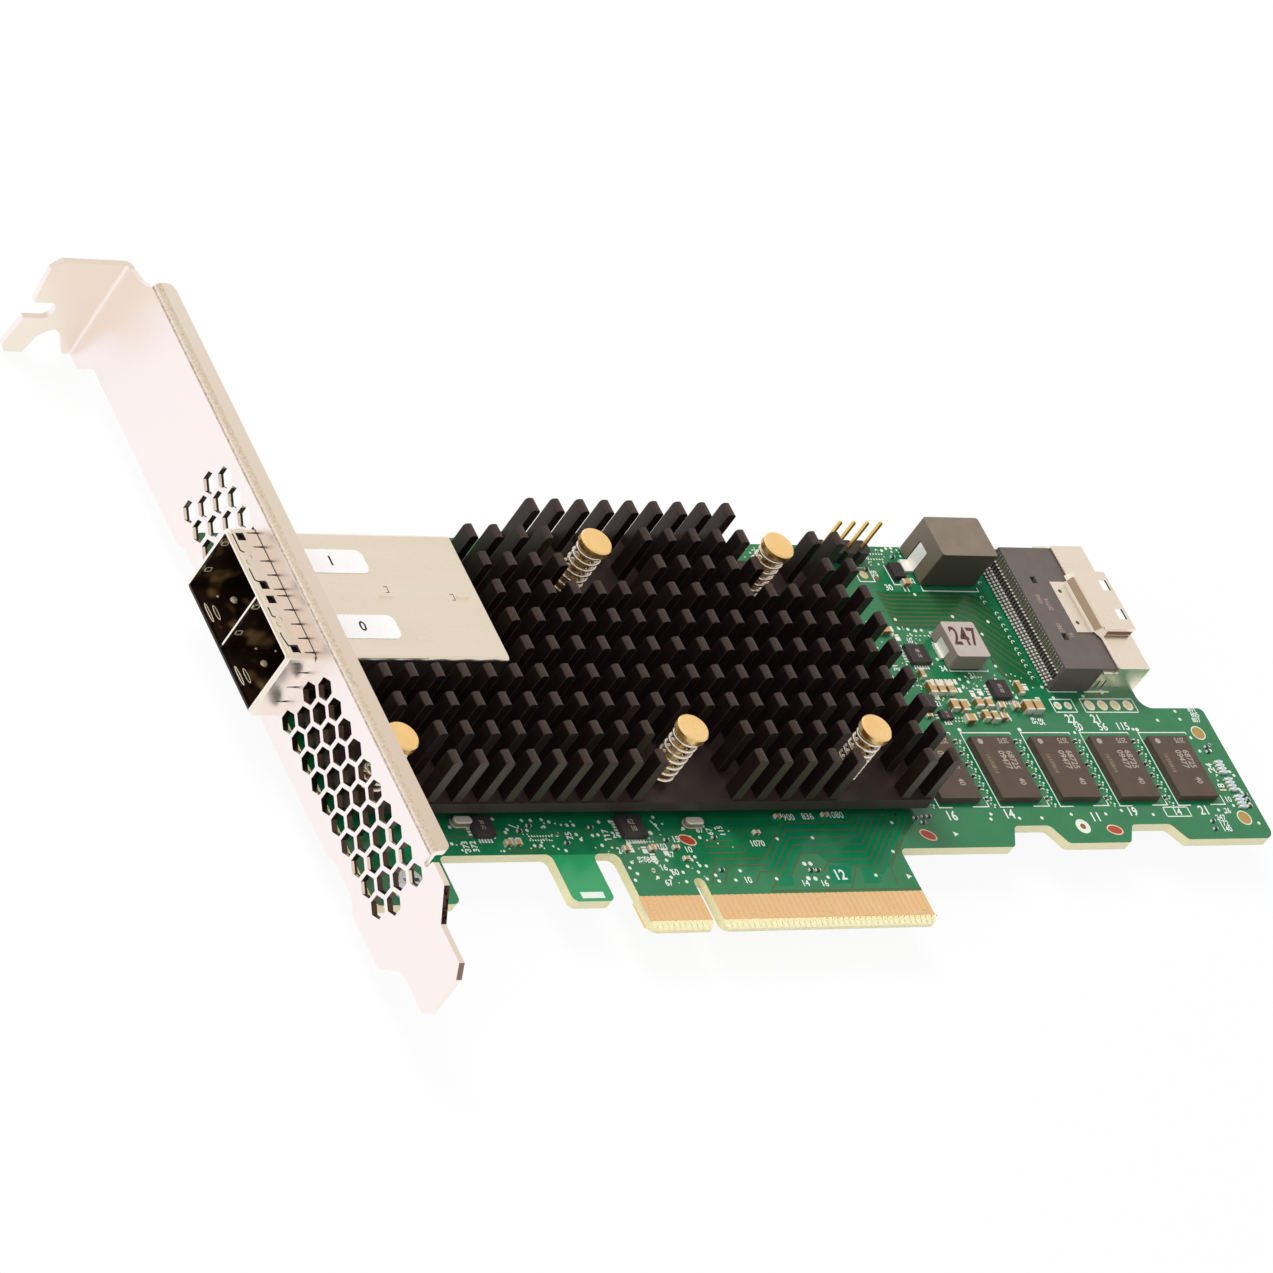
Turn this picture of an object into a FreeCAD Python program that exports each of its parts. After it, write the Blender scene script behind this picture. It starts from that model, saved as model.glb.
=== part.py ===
import FreeCAD, Part
import math
import os

# Storage controller card for a PCI Express slot, in millimetres.
# Origin: middle of the key notch, on the edge of the contact strip, at the board's component surface.
# +X runs along the card away from the bracket, +Y from the contact edge to the top edge,
# +Z out of the component side.

V = FreeCAD.Vector

# ---------------------------------------------------------------- circuit board
board_t = 1.57
board_left = -56.05
board_len = 168.05
board_right = board_left + board_len
board_top = 68.45
shoulder_left_y = 12.8
shoulder_mid_y = 12.9
shoulder_right_y = 13.4
shoulder_far_y = 13.8
tail_y = 4.8
tail_right = -42.0
tongue = (-23.1, -16.0)
strip = (-11.62, 38.87)
notch_w = 1.9
notch_depth = 8.4
far_len = 12.0
far_step = (board_right - far_len, 38.2)
bay_a = (board_right - 49.5, board_right - 42.8)
bay_b = (board_right - 26.8, board_right - 19.3)
bay_y = 16.65
bay_slope = 2.0
bevel_len = 1.3
bevel_depth = 0.47
contact_pitch = 1.0
contact_w = 0.7
contact_t = 0.05
contact_end_y = 5.47
first_contact = 1.5
contacts_left = 11
contacts_right = 38
short_contacts = (5, 19, 36)
short_by = 0.8

# ---------------------------------------------------------------- heatsink stack
chip_side = 25.0
chip_h = 1.6
pad_t = 0.3
pad_side = 23.0
base_t = 1.9
fin_h = 8.4
fin_w = 1.5
fin_len = 2.3
fin_pitch_x = 4.38
fin_pitch_y = 4.93
fin_crown = 0.55
first_fin = (-51.58, 19.9)
fin_columns = 23
fin_rows = 10
fin_clear = (6.0, 4.0)
fin_clear_shift = 2.8
base_front = 18.5
base_left = -55.0
base_right = board_right - 65.0
base_step = (-23.5, 36.5)
base_back = 62.0
base_rear = (-10.5, base_right - 17.0, 66.5)
base_chamfer = 1.3
base_z = chip_h + pad_t
base_top = base_z + base_t
fin_top = base_top + fin_h

# ---------------------------------------------------------------- push pins
pin_left = -1.9
pin_right = base_right - 16.1
pin_low = 23.2
pin_high = 56.2
pin_places = ((pin_left, pin_high), (pin_right, pin_high), (pin_left, pin_low), (pin_right, pin_low),
              (-51.7, 21.9))
pin_head_r = 2.42
pin_head_t = 1.15
pin_head_top = fin_top + 1.9
pin_head_edge = 0.2
pin_stem_r = 1.0
pin_hole_r = 1.25
barb_r = 1.45
barb_tip_r = 0.6
barb_len = 1.5
spring_r = 1.9
spring_wire_r = 0.26
spring_turns = 7.0

# ---------------------------------------------------------------- mounting bracket
sheet_t = 0.9
bracket_x = -57.0
bracket_w = 18.42
bracket_len = 120.7
bracket_low_z = -3.35
bracket_toe = -13.8
bracket_high = bracket_toe + bracket_len
flange_deep = 3.0
flange_short = 6.9
flange_y = (2.0, bracket_high - flange_short)
flange_corner = 1.3
flange_bend_r = 1.1
shelf_deep = 11.9
shelf_side = (-6.3, 11.8)
vent_flats = 2.8
vent_pitch = 3.44
vent_low = (34.6, 1.2)
vent_high = (70.7, 1.6)
vent_columns = 4
vents_low = 10
vents_high = 3
short_column = 1
screw_r = 1.5
screw_head_r = 2.6
screw_head_h = 1.5
screw_places = ((-49.7, 7.8), (-49.7, 64.2))
ear_y = 5.6

# ---------------------------------------------------------------- external port cage
cage_len = 37.0
cage_x = (bracket_x - 4.5, bracket_x - 4.5 + cage_len)
cage_y = (37.4, 59.4)
divider_y = cage_y[0] + 10.75
cage_h = 11.05
cage_t = 0.3
cage_bend = 0.6
collar_t = 0.4
collar_front = cage_x[0] + 0.3
slit_w = 0.2
slit_x = (bracket_x - 1.6, bracket_x - 0.1)
finger_w = 2.43
fingers_across = 5
slits_up = 3
window = 1.3
window_reach = 4.2
rib = (0.3, 0.4, 3.2, 0.75)
rib_gap = 1.2
receptacle_len = 15.0
receptacle_x = (cage_x[1] - 1.5 - receptacle_len, cage_x[1] - 1.5)
receptacle_gap = (0.15, 0.4)
receptacle_wall = 0.8
receptacle_slots = (3.2, 7.0)
receptacle_slot_h = 1.3
receptacle_slot_depth = 7.0
blade_pitch = 0.75
blade_w = 0.3
blade_count = 9
label_x = (-52.0, -40.8)
label_w = 4.1
label_t = 0.06
label_shift = 0.5
divider_tab_x = (-41.2, -28.4)
divider_tab = 2.0
divider_inset = 0.1

# ---------------------------------------------------------------- internal cable socket
socket_len = 16.4
shell_front = far_step[0] - 0.4
socket_x = (shell_front - socket_len, shell_front - 6.1)
socket_y = (41.5, 64.5)
socket_h = 5.0
socket_pitch = 0.6
socket_ways = 37
socket_slot = (0.6, 0.32)
socket_slot_z = (1.7, socket_h - 0.3)
socket_key = (2.9, 1.0, 1.3)
socket_key_y = (6.0, 16.8)
socket_blade_h = 1.1
shell_t = 0.25
raised_y = (47.7, 58.7)
raised_h = 6.6
latch_len = 4.3
latch_rise = 1.1
latch_inset = (0.5, 0.9)
latch_hole_r = 0.35
latch_hole_in = (1.1, 1.8)
shell_leg = (3.2, 1.0, 0.5)
cheek_len = 2.8
cheek_h = 4.6
cheek_lip = 0.4
cheek_slot = (0.7, 1.2, 0.35, 0.6, 2.6)
shell_window = (1.5, 2.0)
shell_window_y = (50.6, 56.1)

# ---------------------------------------------------------------- coils, memory, header, small parts
coil_x = (board_right - 42.8, board_right - 32.2)
coil_y = (61.0, 68.3)
coil_h = 7.0
small_coil_x = (board_right - 46.0, board_right - 39.7)
small_coil_y = (45.3, 51.8)
small_coil_h = 3.0
coil_gap = 0.3
coil_groove = 2.6
coil_lead_w = 2.2
coil_foot = 1.5
small_coil_gap = 0.15
small_coil_groove = 3.0
small_coil_lead_w = 2.8
small_coil_foot = 0.5
groove_share = 0.62
lead_share = 0.6
coil_edge = 0.4
lead_t = 0.4
memory_size = (7.6, 11.2, 1.1)
memory_first = (base_right + 3.45, 20.9)
memory_pitch = 11.55
memory_count = 5
header_x = base_right + 4.8
header_y = 66.15
header_pitch = 2.54
header_pins = 4
header_base_h = 2.5
header_tip = 8.0
header_pin_w = 0.46
header_chamfer = 0.55
header_point = 0.14
header_tail = 1.4
# small parts in front of the heatsink, then those right of it with x counted from its right end
front_chips = (("power_chip_4", (-32.9, 17.3), (3.3, 3.3, 0.85)),
               ("power_chip_5", (-7.5, 17.0), (4.0, 3.6, 0.85)),
               ("crystal_1", (-36.7, 17.9), (2.6, 2.0, 0.8)),
               ("crystal_2", (3.6, 18.0), (2.6, 2.0, 0.8)))
power_chips = (("power_chip_1", (14.2, 47.75), (3.7, 3.3, 0.75)),
               ("power_chip_2", (26.3, 41.2), (3.2, 3.2, 0.85)),
               ("power_chip_3", (13.5, 36.6), (2.2, 1.5, 0.6)),
               ("dual_transistor", (18.8, 63.4), (2.2, 2.6, 0.9)))
front_capacitors = ((-29.6, 14.6, 1.2, 0.8, 0.6), (-28.0, 14.6, 1.2, 0.8, 0.6),
                    (-10.0, 13.4, 1.2, 0.8, 0.5), (-5.5, 13.4, 1.2, 0.8, 0.5))
power_capacitors = ((13.0, 44.1, 0.8, 1.6, 0.8), (13.3, 41.5, 1.25, 2.2, 0.9),
                    (15.0, 41.5, 1.25, 2.2, 0.9), (16.8, 41.5, 1.25, 2.2, 0.9),
                    (15.9, 38.3, 1.25, 1.8, 0.9), (17.7, 38.1, 1.25, 2.0, 0.9),
                    (17.6, 35.8, 1.9, 1.25, 0.9), (20.9, 38.8, 1.25, 1.6, 0.8),
                    (22.8, 38.7, 1.25, 1.6, 0.8), (24.9, 38.2, 1.2, 1.0, 0.8), (27.7, 38.2, 1.2, 1.0, 0.8),
                    (30.5, 41.7, 0.9, 2.4, 0.6), (29.7, 37.9, 1.5, 1.9, 1.2), (31.6, 37.9, 1.5, 1.9, 1.2),
                    (20.8, 36.3, 1.1, 1.6, 1.0), (22.4, 36.1, 1.1, 1.6, 1.0), (24.3, 36.2, 1.4, 0.9, 0.8),
                    (19.6, 61.3, 1.6, 0.9, 0.8))
capacitor_end = 0.3


# ---------------------------------------------------------------- helpers
def box(x, y, z):
    return Part.makeBox(x[1] - x[0], y[1] - y[0], z[1] - z[0], V(x[0], y[0], z[0]))


def on_xy(a, b, level):
    return V(a, b, level)


def on_yz(a, b, level):
    return V(level, a, b)


def on_xz(a, b, level):
    return V(a, level, b)


def outline(corners, place, level):
    """Closed face through (a, b, radius) corners, each rounded by its own radius."""
    ends = []
    count = len(corners)
    for i, (a, b, r) in enumerate(corners):
        here = V(a, b, 0)
        back = V(corners[i - 1][0], corners[i - 1][1], 0) - here
        ahead = V(corners[(i + 1) % count][0], corners[(i + 1) % count][1], 0) - here
        back.normalize()
        ahead.normalize()
        if r == 0:
            ends.append((here, here, here))
            continue
        half = back.getAngle(ahead) / 2
        cut = r / math.tan(half)
        middle = back + ahead
        middle.normalize()
        crown = here + middle * (r / math.sin(half) - r)
        ends.append((here + back * cut, crown, here + ahead * cut))
    edges = []
    for i, (start, crown, end) in enumerate(ends):
        following = ends[(i + 1) % count][0]
        if (end - start).Length > 1e-6:
            arc = Part.Arc(*[place(p.x, p.y, level) for p in (start, crown, end)])
            edges.append(arc.toShape())
        if (following - end).Length > 1e-6:
            edges.append(Part.makeLine(place(end.x, end.y, level), place(following.x, following.y, level)))
    return Part.Face(Part.Wire(edges))


def plate(corners, place, low, high):
    return outline(corners, place, low).extrude(place(0, 0, high) - place(0, 0, low))


def post(r, x, y, low, high):
    return Part.makeCylinder(r, high - low, V(x, y, low))


def fused(first, others):
    return first.multiFuse(others).removeSplitter()


def export(name, shape):
    shape.exportStep(os.path.join("parts", name + ".step"))


# ---------------------------------------------------------------- circuit board and its contacts
def make_board():
    half_notch = notch_w / 2
    corners = [
        (board_left, tail_y, 1.0), (tail_right, tail_y, 1.2), (tail_right, shoulder_left_y, 1.0),
        (tongue[0], shoulder_left_y, 1.0), (tongue[0], tail_y, 1.0), (tongue[1], tail_y, 1.0),
        (tongue[1], shoulder_left_y, 1.2), (strip[0], shoulder_left_y, 1.2), (strip[0], 0, 1.0),
        (-half_notch, 0, 0.9), (-half_notch, notch_depth, 0.94), (half_notch, notch_depth, 0.94),
        (half_notch, 0, 0.9), (strip[1], 0, 1.0), (strip[1], shoulder_mid_y, 1.0),
        (bay_a[0] - bay_slope, shoulder_mid_y, 0.9), (bay_a[0], bay_y, 1.2), (bay_a[1], bay_y, 1.2),
        (bay_a[1] + bay_slope, shoulder_right_y, 0.9), (bay_b[0] - bay_slope, shoulder_right_y, 0.9),
        (bay_b[0], bay_y, 1.2), (bay_b[1], bay_y, 1.2), (bay_b[1] + bay_slope, shoulder_far_y, 0.9),
        (board_right, shoulder_far_y, 1.8), (board_right, far_step[1], 0.9),
        (far_step[0], far_step[1], 2.2), (far_step[0], board_top, 0.8), (board_left, board_top, 0.8)]
    board = plate(corners, on_xy, -board_t, 0)
    wedge_up = [(-1, 1, 0), (bevel_len, 1, 0), (bevel_len, 0, 0), (0, -bevel_depth, 0),
                (-1, -bevel_depth, 0)]
    wedge_down = [(a, -board_t - b, 0) for a, b, r in wedge_up]
    tools = [plate(wedge_up, on_yz, strip[0] - 1, strip[1] + 1),
             plate(wedge_down, on_yz, strip[0] - 1, strip[1] + 1)]
    tools += [post(pin_hole_r, x, y, -board_t - 1, 1) for x, y in pin_places]
    tools += [post(screw_r, x, y, -board_t - 1, 1) for x, y in screw_places]
    tools += [header_pin_hole(i) for i in range(header_pins)]
    return board.cut(tools)


def header_pin_hole(i):
    half = header_pin_w / 2
    x = header_x + header_pitch * i
    return box((x - half, x + half), (header_y - half, header_y + half), (-board_t - 1, 1))


def make_edge_contacts():
    pads = []
    xs = [(-first_contact - contact_pitch * i, False) for i in range(contacts_left)]
    xs += [(first_contact + contact_pitch * i, i in short_contacts) for i in range(contacts_right)]
    for x, short in xs:
        start = bevel_len + (short_by if short else 0)
        sides = (x - contact_w / 2, x + contact_w / 2)
        pads.append(box(sides, (start, contact_end_y), (0, contact_t)))
        pads.append(box(sides, (bevel_len, contact_end_y), (-board_t - contact_t, -board_t)))
    return Part.makeCompound(pads)


# ---------------------------------------------------------------- controller chip, pad, heatsink
def stack_centre():
    return ((pin_left + pin_right) / 2, (pin_low + pin_high) / 2)


def square_about(centre, side, low, high):
    half = side / 2
    return box((centre[0] - half, centre[0] + half), (centre[1] - half, centre[1] + half), (low, high))


def on_base(x, y):
    """Whether a fin at (x, y) stands wholly on the stepped base."""
    left, right = x - fin_w / 2, x + fin_w / 2
    back = y + fin_len / 2
    if right > base_right or left < base_left:
        return False
    if back <= base_step[1]:
        return True
    if back <= base_back:
        return left >= base_step[0]
    return left >= base_rear[0] and right <= base_rear[1]


def clear_of_pins(x, y):
    return all(abs(x - pin_x - fin_clear_shift) > fin_clear[0] or abs(y - pin_y) > fin_clear[1]
               for pin_x, pin_y in pin_places)


def fin_places():
    grid = [(first_fin[0] + fin_pitch_x * column, first_fin[1] + fin_pitch_y * row)
            for row in range(fin_rows) for column in range(fin_columns)]
    return [(x, y) for x, y in grid if on_base(x, y) and clear_of_pins(x, y)]


def one_fin(x, y):
    half = fin_w / 2
    section = [(x - half, base_top, 0), (x + half, base_top, 0), (x + half, fin_top, fin_crown),
               (x - half, fin_top, fin_crown)]
    return plate(section, on_xz, y - fin_len / 2, y + fin_len / 2)


def make_heatsink():
    corners = [(base_left, base_front, 0.8), (base_right - base_chamfer, base_front, 0),
               (base_right, base_front + base_chamfer, 0), (base_right, base_back, 0.8),
               (base_rear[1], base_back, 0), (base_rear[1], base_rear[2], 0.8),
               (base_rear[0], base_rear[2], 0.8), (base_rear[0], base_back, 0),
               (base_step[0], base_back, 0.8), (base_step[0], base_step[1], 0),
               (base_left, base_step[1], 0.8)]
    base = plate(corners, on_xy, base_z, base_top)
    whole = fused(base, [one_fin(x, y) for x, y in fin_places()])
    return whole.cut([post(pin_hole_r, x, y, base_z - 1, base_top + 1) for x, y in pin_places])


# ---------------------------------------------------------------- push pins and springs
def make_push_pin(x, y):
    under_head = pin_head_top - pin_head_t
    profile = [(0, -board_t - barb_len), (barb_tip_r, -board_t - barb_len), (barb_r, -board_t),
               (pin_stem_r, -board_t), (pin_stem_r, under_head), (pin_head_r, under_head),
               (pin_head_r, pin_head_top - pin_head_edge), (pin_head_r - pin_head_edge, pin_head_top),
               (0, pin_head_top)]
    wire = Part.makePolygon([V(x + r, y, z) for r, z in profile] + [V(x, y, -board_t - barb_len)])
    return Part.Face(wire).revolve(V(x, y, 0), V(0, 0, 1), 360)


def make_spring(x, y):
    low = base_top + spring_wire_r
    height = pin_head_top - pin_head_t - spring_wire_r - low
    helix = Part.makeHelix(height / spring_turns, height, spring_r)
    section = Part.Wire(Part.makeCircle(spring_wire_r, V(spring_r, 0, 0), V(0, 1, 0)))
    spring = Part.Wire(helix).makePipeShell([section], True, True)
    spring.translate(V(x, y, low))
    return spring


# ---------------------------------------------------------------- mounting bracket
def hexagon(y, z):
    """Vent hole with two flats square to Y, so its points look along Z."""
    r = vent_flats / math.sqrt(3)
    return [(y + r * math.cos(math.radians(30 + 60 * i)), z + r * math.sin(math.radians(30 + 60 * i)), 0)
            for i in range(6)]


def vent_places():
    """Two staggered groups, the upper one with a vent fewer in its second column."""
    step_z = vent_pitch * math.sqrt(3) / 2
    holes = []
    for column in range(vent_columns):
        z = step_z * column
        drop = vent_pitch / 2 * (column % 2)
        holes += [(vent_low[0] - drop - vent_pitch * i, vent_low[1] + z) for i in range(vents_low)]
        upper = vents_high - (column == short_column)
        holes += [(vent_high[0] - drop - vent_pitch * i, vent_high[1] + z) for i in range(upper)]
    return holes


def make_bracket():
    x0, x1 = bracket_x, bracket_x + sheet_t
    low = bracket_low_z
    high = low + bracket_w
    top = bracket_high
    tab = shelf_side[1]
    face = [(top - 1.4, shelf_side[0], 0.5), (top - 3.6, shelf_side[0], 1.0),
            (top - 6.2, low, 0.8), (68.9, low, 0.4), (67.7, low + 1.0, 0.4), (61.5, low + 1.0, 0.4),
            (60.5, low, 0.4), (15.2, low, 0.4), (14.2, low + 0.9, 0.4), (8.0, low + 0.9, 0.4),
            (6.2, low - 0.5, 0.6), (-2.4, low - 0.5, 0.8), (-6.2, 0.0, 0.8), (bracket_toe + 1.2, 0.0, 0),
            (bracket_toe, 1.3, 0), (bracket_toe, 8.4, 0), (bracket_toe + 1.3, 10.3, 0),
            (-6.4, 10.3, 0.8), (-2.8, high - 0.9, 0.8), (1.0, high - 0.9, 0.4), (1.2, high - 2.6, 0.3),
            (flange_y[0], high - 2.6, 0.3), (flange_y[0], high - flange_bend_r, 0),
            (flange_y[1], high - flange_bend_r, 0), (top - 6.0, high - 1.9, 0.5),
            (top - 4.6, high - 2.4, 0.4), (top - 4.2, tab + 0.6, 0.3), (top - 1.4, tab, 0.5)]
    blank = plate(face, on_yz, x0, x1)
    r = flange_bend_r
    turn = [(x0, high - r - 1.0, 0), (x1, high - r - 1.0, 0), (x1, high - sheet_t, r - sheet_t + 0.05),
            (x0 + flange_deep, high - sheet_t, 0), (x0 + flange_deep, high, 0), (x0, high, r)]
    r_out = flange_corner
    lip = [(x0 - 1, flange_y[0], 0), (x0 + flange_deep, flange_y[0], r_out),
           (x0 + flange_deep, flange_y[1], r_out), (x0 - 1, flange_y[1], 0)]
    flange = plate(turn, on_xz, flange_y[0], flange_y[1]).common(plate(lip, on_xy, low, high + 1))
    under = top - sheet_t
    fold = [(x0, top - r - 1.0, 0), (x0, under, r - sheet_t + 0.05), (x0 - shelf_deep, under, 0),
            (x0 - shelf_deep, top, 0), (x1, top, r), (x1, top - r - 1.0, 0)]
    shelf = plate(fold, on_xy, shelf_side[0], shelf_side[1])
    far = x0 - shelf_deep
    shape = [(x1 + 1, shelf_side[1], 0), (far + 1.4, shelf_side[1], 0), (far, shelf_side[1] - 1.6, 0.4),
             (far + 0.7, 3.7, 0.3), (far + 4.9, 3.7, 1.4), (far + 4.9, 0.6, 1.4), (far + 0.7, 0.6, 0.3),
             (far, -4.9, 0.6), (far + 1.3, shelf_side[0] - 0.4, 0.6), (far + 3.9, shelf_side[0] - 0.4, 0.4),
             (far + 4.6, -3.2, 1.0), (far + 6.6, -1.1, 1.4), (far + 8.5, -2.6, 0.8),
             (x0 - 1.4, shelf_side[0], 0.8), (x1 + 1, shelf_side[0], 0)]
    shelf = shelf.common(plate(shape, on_xz, top - 5, top + 1))
    bracket = fused(blank, [flange, shelf] + [make_ear(x, y) for x, y in screw_places])
    opening = box((x0 - 1, x1 + 1), (cage_y[0] - collar_t, cage_y[1] + collar_t),
                  (-collar_t, cage_h + collar_t))
    tools = [plate(hexagon(y, z), on_yz, x0 - 1, x1 + 1) for y, z in vent_places()]
    tools += [opening] + [post(screw_r, x, y, -bracket_w, 0) for x, y in screw_places]
    return bracket.cut(tools).removeSplitter()


def make_ear(x, y):
    """Tab folded in from the bracket's low edge, under the board at a screw."""
    outer = (bracket_x, x + ear_y / 2)
    return box(outer, (y - ear_y / 2, y + ear_y / 2), (-board_t - sheet_t, -board_t))


def make_screws():
    shapes = []
    for x, y in screw_places:
        body = post(screw_r, x, y, -board_t - sheet_t, 0)
        head = Part.makeCone(screw_head_r, screw_head_r * 0.72, screw_head_h, V(x, y, 0))
        slot = box((x - 0.3, x + 0.3), (y - 1.3, y + 1.3), (screw_head_h * 0.4, screw_head_h + 1))
        cross = box((x - 1.3, x + 1.3), (y - 0.3, y + 0.3), (screw_head_h * 0.4, screw_head_h + 1))
        shapes.append(body.fuse(head).cut([slot, cross]))
    return Part.makeCompound(shapes)


# ---------------------------------------------------------------- external port cage
def port_middles():
    half = cage_t / 2
    return ((divider_y + cage_y[1] - half) / 2, (divider_y + cage_y[0] + half) / 2)


def divider_sides():
    return (divider_y - cage_t / 2, divider_y + cage_t / 2)


def window_cuts():
    """Two square latch windows over each port, at the front edge of the roof."""
    cuts = []
    x = collar_front + window / 2
    half = window / 2
    for middle in port_middles():
        for y in (middle - window_reach, middle + window_reach):
            cuts.append(box((x, x + window), (y - half, y + half), (cage_h - 1, cage_h + 1)))
    return cuts


def round_topped(sides, low, high, r):
    """Cage section moved out or in at each side, with its two top corners rounded."""
    y = (cage_y[0] + sides[0], cage_y[1] + sides[1])
    return [(y[0], low, 0), (y[1], low, 0), (y[1], high, r), (y[0], high, r)]


def make_cage_shell():
    t = cage_t
    rim = round_topped((0, 0), 0, cage_h, cage_bend)
    hollow = round_topped((t, -t), -1, cage_h - t, cage_bend - t)
    cuts = [plate(hollow, on_yz, cage_x[0] - 1, cage_x[1] - t)]
    for x in divider_tab_x:
        cuts.append(box((x, x + divider_tab), divider_sides(), (cage_h - 1, cage_h + 1)))
    return plate(rim, on_yz, cage_x[0], cage_x[1]).cut(cuts + window_cuts())


def make_cage_floor():
    """Floor sheet with two spring ribs near the mouth of each port."""
    floor = box((cage_x[0], cage_x[1] - cage_t), (cage_y[0] + cage_t, cage_y[1] - cage_t), (0, cage_t))
    ribs = []
    for y in port_middles():
        for i in range(2):
            start = cage_x[0] + rib[0] + rib_gap * i
            ribs.append(box((start, start + rib[1]), (y - rib[2] / 2, y + rib[2] / 2), (cage_t, rib[3])))
    return fused(floor, ribs)


def make_cage_divider():
    sides = divider_sides()
    wall = box((cage_x[0] + divider_inset, cage_x[1] - cage_t), sides, (cage_t, cage_h - cage_t))
    tabs = [box((x, x + divider_tab), sides, (cage_h - cage_t, cage_h + cage_t)) for x in divider_tab_x]
    return fused(wall, tabs)


def make_collar():
    """Spring-fingered sleeve between the cage and the bracket's opening."""
    t = collar_t
    y = (cage_y[0] - t, cage_y[1] + t)
    z = (-t, cage_h + t)
    outer = round_topped((-t, t), z[0], z[1], cage_bend + t)
    inner = round_topped((0, 0), 0, cage_h, cage_bend)
    sleeve = plate(outer, on_yz, collar_front, bracket_x + sheet_t)
    cuts = [plate(inner, on_yz, cage_x[0] - 1, bracket_x + 2)]
    half = slit_w / 2
    for port in port_middles():
        for i in range(fingers_across):
            middle = port + finger_w * (i - (fingers_across - 1) / 2)
            cuts.append(box(slit_x, (middle - half, middle + half), (cage_h, z[1] + 1)))
            cuts.append(box(slit_x, (middle - half, middle + half), (z[0] - 1, 0)))
    for i in range(1, slits_up + 1):
        middle = z[0] + (z[1] - z[0]) * i / (slits_up + 1)
        cuts.append(box(slit_x, (y[0] - 1, cage_y[0]), (middle - half, middle + half)))
        cuts.append(box(slit_x, (cage_y[1], y[1] + 1), (middle - half, middle + half)))
    return sleeve.cut(cuts + window_cuts())


def make_receptacle(middle):
    half = (divider_y - cage_y[0] - cage_t * 1.5) / 2 - receptacle_gap[0]
    body = box(receptacle_x, (middle - half, middle + half), (cage_t, cage_h - cage_t - receptacle_gap[1]))
    mouth = (receptacle_x[0] - 1, receptacle_x[0] + receptacle_slot_depth)
    across = (middle - half + receptacle_wall, middle + half - receptacle_wall)
    return body.cut([box(mouth, across, (z, z + receptacle_slot_h)) for z in receptacle_slots])


def make_receptacle_contacts(middle):
    blades = []
    span = (receptacle_x[0] + 0.4, receptacle_x[0] + receptacle_slot_depth)
    for z in receptacle_slots:
        for i in range(blade_count):
            y = middle + blade_pitch * (i - (blade_count - 1) / 2)
            blades.append(box(span, (y - blade_w / 2, y + blade_w / 2), (z, z + blade_w)))
    return Part.makeCompound(blades)


def make_label(middle):
    low = middle - label_w / 2
    high = middle + label_w / 2
    corners = [(label_x[0], low, 0), (label_x[1], low, 1.2), (label_x[1], high, 1.2), (label_x[0], high, 0)]
    return plate(corners, on_xy, cage_h, cage_h + label_t)


# ---------------------------------------------------------------- internal cable socket
def socket_way(i):
    return (socket_y[0] + socket_y[1]) / 2 + socket_pitch * (i - (socket_ways - 1) / 2)


def make_socket_housing():
    """Black block with a slot per way in its back wall, and the tongue that carries the contacts."""
    body = box(socket_x, socket_y, (0, socket_h))
    tongue_z = (socket_h - socket_blade_h) / 2
    blade = box((socket_x[1], shell_front - 1.2), (socket_y[0] + 1.2, socket_y[1] - 1.2),
                (tongue_z, tongue_z + socket_blade_h))
    cuts = []
    for i in range(socket_ways):
        y = socket_way(i)
        cuts.append(box((socket_x[0] - 1, socket_x[0] + socket_slot[0]),
                        (y - socket_slot[1] / 2, y + socket_slot[1] / 2), socket_slot_z))
    x = socket_x[0] + socket_key[0]
    for offset in socket_key_y:
        y = socket_y[0] + offset
        cuts.append(box((x, x + socket_key[1]), (y - socket_key[2] / 2, y + socket_key[2] / 2),
                        (socket_h - 0.9, socket_h + 1)))
    return fused(body, [blade]).cut(cuts)


def make_socket_contacts():
    leads = []
    for i in range(socket_ways):
        y = (socket_way(i) - 0.14, socket_way(i) + 0.14)
        leads.append(box((socket_x[0] - 0.85, socket_x[0]), y, (0, 0.3)))
        leads.append(box((socket_x[0] - 0.3, socket_x[0]), y, (0.9, 1.45)))
    return Part.makeCompound(leads)


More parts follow.
